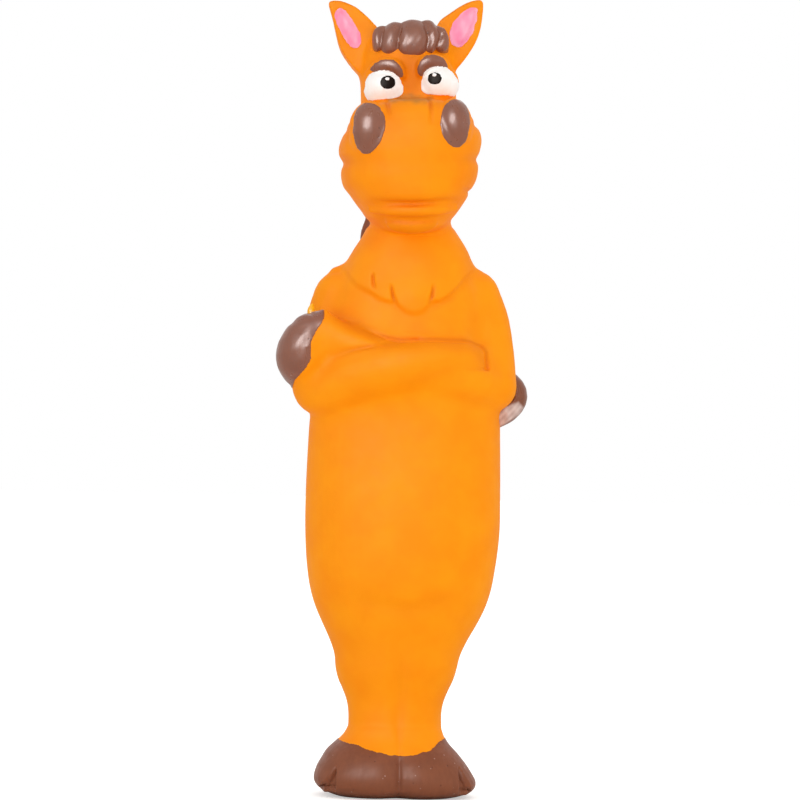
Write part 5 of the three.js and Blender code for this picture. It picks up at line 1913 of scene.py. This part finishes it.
@dataclass
class HairBehind:
    """The mane down the back of the head and the tail, moulded on and painted."""

    voxel: float = 0.42
    mane: Sequence[Sequence[float]] = (
        (0, 7.6, 181.4, 3.2), (0, 12.6, 178.0, 5.6), (0, 14.6, 170.0, 7.2), (0, 14.4, 158.0, 7.8),
        (0, 13.4, 147.0, 8.6), (0, 12.9, 136.0, 9.6), (0, 13.6, 126.0, 8.6), (0, 14.6, 119.0, 4.6),
    )
    side_lock: Sequence[Sequence[float]] = (
        (-5.2, 10.5, 147.0, 2.8), (-6.2, 10.0, 141.5, 2.7), (-7.6, 9.8, 137.6, 2.7), (-8.7, 9.8, 133.6, 2.6),
        (-7.6, 11.0, 129.4, 1.8),
    )
    tail: Sequence[Sequence[float]] = (
        (0, 16.6, 62.0, 2.4), (0, 17.6, 53.0, 3.5), (0, 16.4, 42.0, 4.0), (0, 12.8, 31.0, 3.4),
        (0, 10.4, 22.0, 1.6),
    )

    def build(self, box: Paintbox) -> None:
        """Builds both.

        Args:
            box: the materials.
        """
        for name, rows, flatten in (("mane", self.mane, (1, 0.42, 1)), ("tail", self.tail, (1, 0.7, 1))):
            clay = Clay()
            clay.limb(rows, 0.6, flatten)
            if name == "mane":
                clay.limb(self.side_lock, 0.5, (0.8, 0.7, 1))
            skin = clay.skin(self.voxel * ROUGH)
            skin.smooth(8)
            self.comb(skin, 3.1 if name == "mane" else 1.9)
            skin.settle(box, f"{name}_painted", BROWN, [name])

    def comb(self, skin: Skin, width: float) -> None:
        """Parts the hair into locks that wave down its length.

        Args:
            skin: the hair.
            width: the width of a lock.
        """
        wave = 0.9 * np.sin(skin.co[:, 2] / 9) + 0.3 * np.sin(skin.co[:, 2] / 3.7)
        phase = (skin.co[:, 0] + wave) / width
        groove = np.abs((phase % 1) - 0.5) * 2
        facing = ease(skin.normals()[:, 1] * 1.6)
        skin.push(-0.75 * ease((groove - 0.62) / 0.38) * facing)
        skin.smooth(2)


# Stuffing and squeaker


@dataclass
class Stuffing:
    """The loose fibre inside, lumpy where it isn't pressed against the skin."""

    voxel: float = 1.0
    fill: float = 0.7
    pads: Sequence[tuple[str, str]] = (
        ("head_filling", "head_fibre_filling"),
        ("body_filling", "body_fibre_filling"),
        ("leg_filling", "leg_fibre_filling"),
        ("belly_pad", "belly_fibre_pad"),
        ("squeeze_wadding", "squeaker_fibre_wadding"),
    )

    def build(self, box: Paintbox) -> None:
        """Builds each mass of fibre in the space of its node.

        Args:
            box: the materials.
        """
        for node, name in self.pads:
            bm = bmesh.new()
            bm.from_mesh(frame["nodes"][node].data)
            bmesh.ops.remove_doubles(bm, verts=bm.verts, dist=1e-6)
            bmesh.ops.transform(bm, matrix=Matrix.Scale(1 / MM, 4) @ Matrix.Translation(-AXIS),
                                verts=bm.verts)
            skin = Clay(bm).skin(self.voxel)
            skin.smooth(3)
            lumps = ragged(skin.co[:, [0, 2]], 3.1, 1.0) + ragged(skin.co[:, [1, 2]], 2.3, 2.0)
            skin.push(-0.35 - 0.22 * lumps)
            body = {"belly_pad": Body.BELLY, "squeeze_wadding": None}.get(node, Body.TOY)
            piece = skin.settle(box, name, FIBRE, body=body)
            if body is None:
                low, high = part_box(node)
                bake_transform(piece, Body.TOY.value, Body.BELLY.value, (0, high.y, 0.068), (0, low.y, 0.068))
            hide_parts(node)


@dataclass
class Bellows:
    """The pleated wall of the squeaker, which folds up as the belly is pressed."""

    radius: float = 12.6
    pleat: float = 2.2
    pleats: int = 4
    wall: float = 0.9
    per_pleat: int = 8
    facets: int = 64

    def build(self, box: Paintbox) -> None:
        """Spins the wall and lets it fold.

        Args:
            box: the materials.
        """
        low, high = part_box("squeaker_bellows")
        middle = Vector(((low.x + high.x) / 2, low.y, (low.z + high.z) / 2))
        length = (high.y - low.y) / MM
        bm = bmesh.new()
        outer = []
        steps = self.per_pleat * self.pleats
        for i in range(steps + 1):
            t = i / steps
            fold = 0.5 - 0.5 * math.cos(2 * math.pi * self.pleats * t)
            outer.append(bm.verts.new((self.radius - self.pleat * fold ** 0.8, t * length, 0)))
        inner = [bm.verts.new((vert.co.x - self.wall, vert.co.y, 0)) for vert in reversed(outer)]
        loop = outer + inner
        edges = [bm.edges.new((a, b)) for a, b in zip(loop, loop[1:] + loop[:1])]
        bmesh.ops.spin(bm, geom=loop + edges, cent=(0, 0, 0), axis=(0, 1, 0), angle=2 * math.pi,
                       steps=self.facets, use_merge=True, use_duplicate=False)
        bmesh.ops.remove_doubles(bm, verts=bm.verts, dist=1e-4)
        bmesh.ops.recalc_face_normals(bm, faces=bm.faces)
        mesh = to_mesh(bm, "bellows")
        mesh.transform(Matrix.Translation((middle - AXIS) / MM))
        piece = box.show(mesh, "squeaker_bellows_pleated", SQUEAKER, body=None)
        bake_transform(piece, Body.TOY.value, Body.BELLY.value, (0, high.y, 0.07), (0, low.y, 0.07))
        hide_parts("squeaker_bellows")


@dataclass
class CadNodes:
    """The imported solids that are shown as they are."""

    finishes: dict[str, Finish] = field(default_factory=lambda: {
        "sole_patch": LATEX,
        "squeaker_face": SQUEAKER,
        "squeaker_base": SQUEAKER,
        "reed_sleeve": SQUEAKER,
        "tone_board": SQUEAKER,
        "reed_wedge": SQUEAKER,
        "reed": REED,
    })

    def build(self, box: Paintbox) -> None:
        """Dresses each solid in its finish."""
        for node, finish in self.finishes.items():
            box.dress(frame["nodes"][node], finish)
            LOG.info("%s: the packed solid", node)


# Studio


class Seen(Enum):
    """The surfaces that a lamp lights, where it isn't all of them."""

    MATTE = "matte"
    GLOSSY = "glossy"


@dataclass
class Studio:
    """The white sweep, the soft lamps and the camera."""

    ambient: float = 0.87
    lift: float = 0.45
    lens: float = 187.3

    def build(self) -> None:
        """Builds the studio."""
        scene = bpy.context.scene
        scene.view_settings.view_transform = "Standard"
        self.sweep()
        self.world(scene)
        self.lamp("key", (-0.5, -0.95, 0.3), 0.3, 0.7)
        self.lamp("low", (0.1, -1.1, 0.07), 0.3, 2.1, Seen.MATTE)
        self.lamp("fill", (0.9, -0.6, 0.1), 0.6, 0.8)
        self.lamp("back", (0.1, 0.8, 0.6), 0.6, 0.7)
        self.lamp("shine", (-0.4, -0.9, 0.55), 0.9, 24.0, Seen.GLOSSY)
        self.camera(scene)

    def sweep(self) -> None:
        """Makes the floor, which looks plain white to the camera."""
        bm = bmesh.new()
        bmesh.ops.create_grid(bm, x_segments=1, y_segments=1, size=3.0)
        mesh = to_mesh(bm, "sweep")
        floor = bpy.data.objects.new("floor", mesh)
        bpy.context.scene.collection.objects.link(floor)
        material = bpy.data.materials.new("studio_paper_white")
        material.use_nodes = True
        tree = material.node_tree
        tree.nodes.clear()
        paper = add(tree, "ShaderNodeBsdfDiffuse", {"Color": linear("#f4f4f2")})
        path = add(tree, "ShaderNodeLightPath")
        glow = add(tree, "ShaderNodeMath", {0: path.outputs["Is Camera Ray"], 1: self.lift},
                   operation="MULTIPLY")
        shine = add(tree, "ShaderNodeEmission", {"Color": (1, 1, 1, 1), "Strength": glow.outputs[0]})
        both = add(tree, "ShaderNodeAddShader", {0: paper.outputs[0], 1: shine.outputs[0]})
        add(tree, "ShaderNodeOutputMaterial", {"Surface": both.outputs[0]})
        mesh.materials.append(material)

    def world(self, scene: bpy.types.Scene) -> None:
        """Lights the toy evenly from all round and shows plain white behind it.

        Args:
            scene: the scene.
        """
        world = bpy.data.worlds.new("studio")
        world.use_nodes = True
        tree = world.node_tree
        tree.nodes.clear()
        path = add(tree, "ShaderNodeLightPath")
        seen_direct = add(tree, "ShaderNodeMath", {0: path.outputs["Is Camera Ray"],
                                                   1: path.outputs["Is Glossy Ray"]},
                          operation="MAXIMUM").outputs[0]
        seen_any = add(tree, "ShaderNodeMath", {0: seen_direct, 1: path.outputs["Is Transmission Ray"]},
                       operation="MAXIMUM").outputs[0]
        strength = add(tree, "ShaderNodeMapRange", {
            "Value": seen_any, "From Min": 0.0, "From Max": 1.0, "To Min": self.ambient, "To Max": 1.0,
        }).outputs["Result"]
        light = add(tree, "ShaderNodeBackground", {"Color": (1, 1, 1, 1), "Strength": strength})
        add(tree, "ShaderNodeOutputWorld", {"Surface": light.outputs[0]})
        scene.world = world

    def lamp(self, name: str, place: Point, size: float, power: float,
             lights: Seen | None = None) -> None:
        """Hangs one soft lamp that points at the toy.

        Args:
            name: the lamp's name.
            place: its place in metres.
            size: its width in metres.
            power: its power in watts.
            lights: which surfaces it lights, if not all.
        """
        data = bpy.data.lights.new(name, "AREA")
        data.shape = "DISK"
        data.size = size
        data.energy = power
        lamp = bpy.data.objects.new(name, data)
        bpy.context.scene.collection.objects.link(lamp)
        lamp.location = place
        lamp.visible_diffuse = lights is not Seen.GLOSSY
        lamp.visible_glossy = lights is not Seen.MATTE
        target = Vector((0, 0, 0.1))
        lamp.rotation_euler = (target - lamp.location).to_track_quat("-Z", "Y").to_euler()

    def camera(self, scene: bpy.types.Scene) -> None:
        """Stands the camera where the photograph was taken from.

        Args:
            scene: the scene.
        """
        data = bpy.data.cameras.new("camera")
        data.lens = self.lens
        data.sensor_width = 36.0
        camera = bpy.data.objects.new("camera", data)
        scene.collection.objects.link(camera)
        angle = PHOTO.azimuth
        back = Vector((math.sin(angle), -math.cos(angle), 0))
        target = AXIS + Vector(PHOTO.aim) * MM
        camera.location = target + back * PHOTO.distance * MM
        roll = Matrix.Rotation(PHOTO.roll, 3, back)
        aim = (-back).to_track_quat("-Z", "Y").to_matrix()
        camera.rotation_euler = (roll @ aim).to_euler()
        data.clip_start, data.clip_end = 0.05, 20.0
        scene.camera = camera


def main() -> None:
    """Builds the toy and the studio."""
    logging.basicConfig(level=logging.INFO, format="%(name)s %(message)s")
    box = Paintbox()
    Studio().build()
    body = BodySkin()
    body.build(box)
    head = HeadSkin(body)
    FacePaint().build(head, head.build(box), box)
    Forelock().build(head, box)
    HairBehind().build(box)
    Stuffing().build(box)
    Bellows().build(box)
    CadNodes().build(box)
    Clay.put_away()


if __name__ == "__main__":
    main()
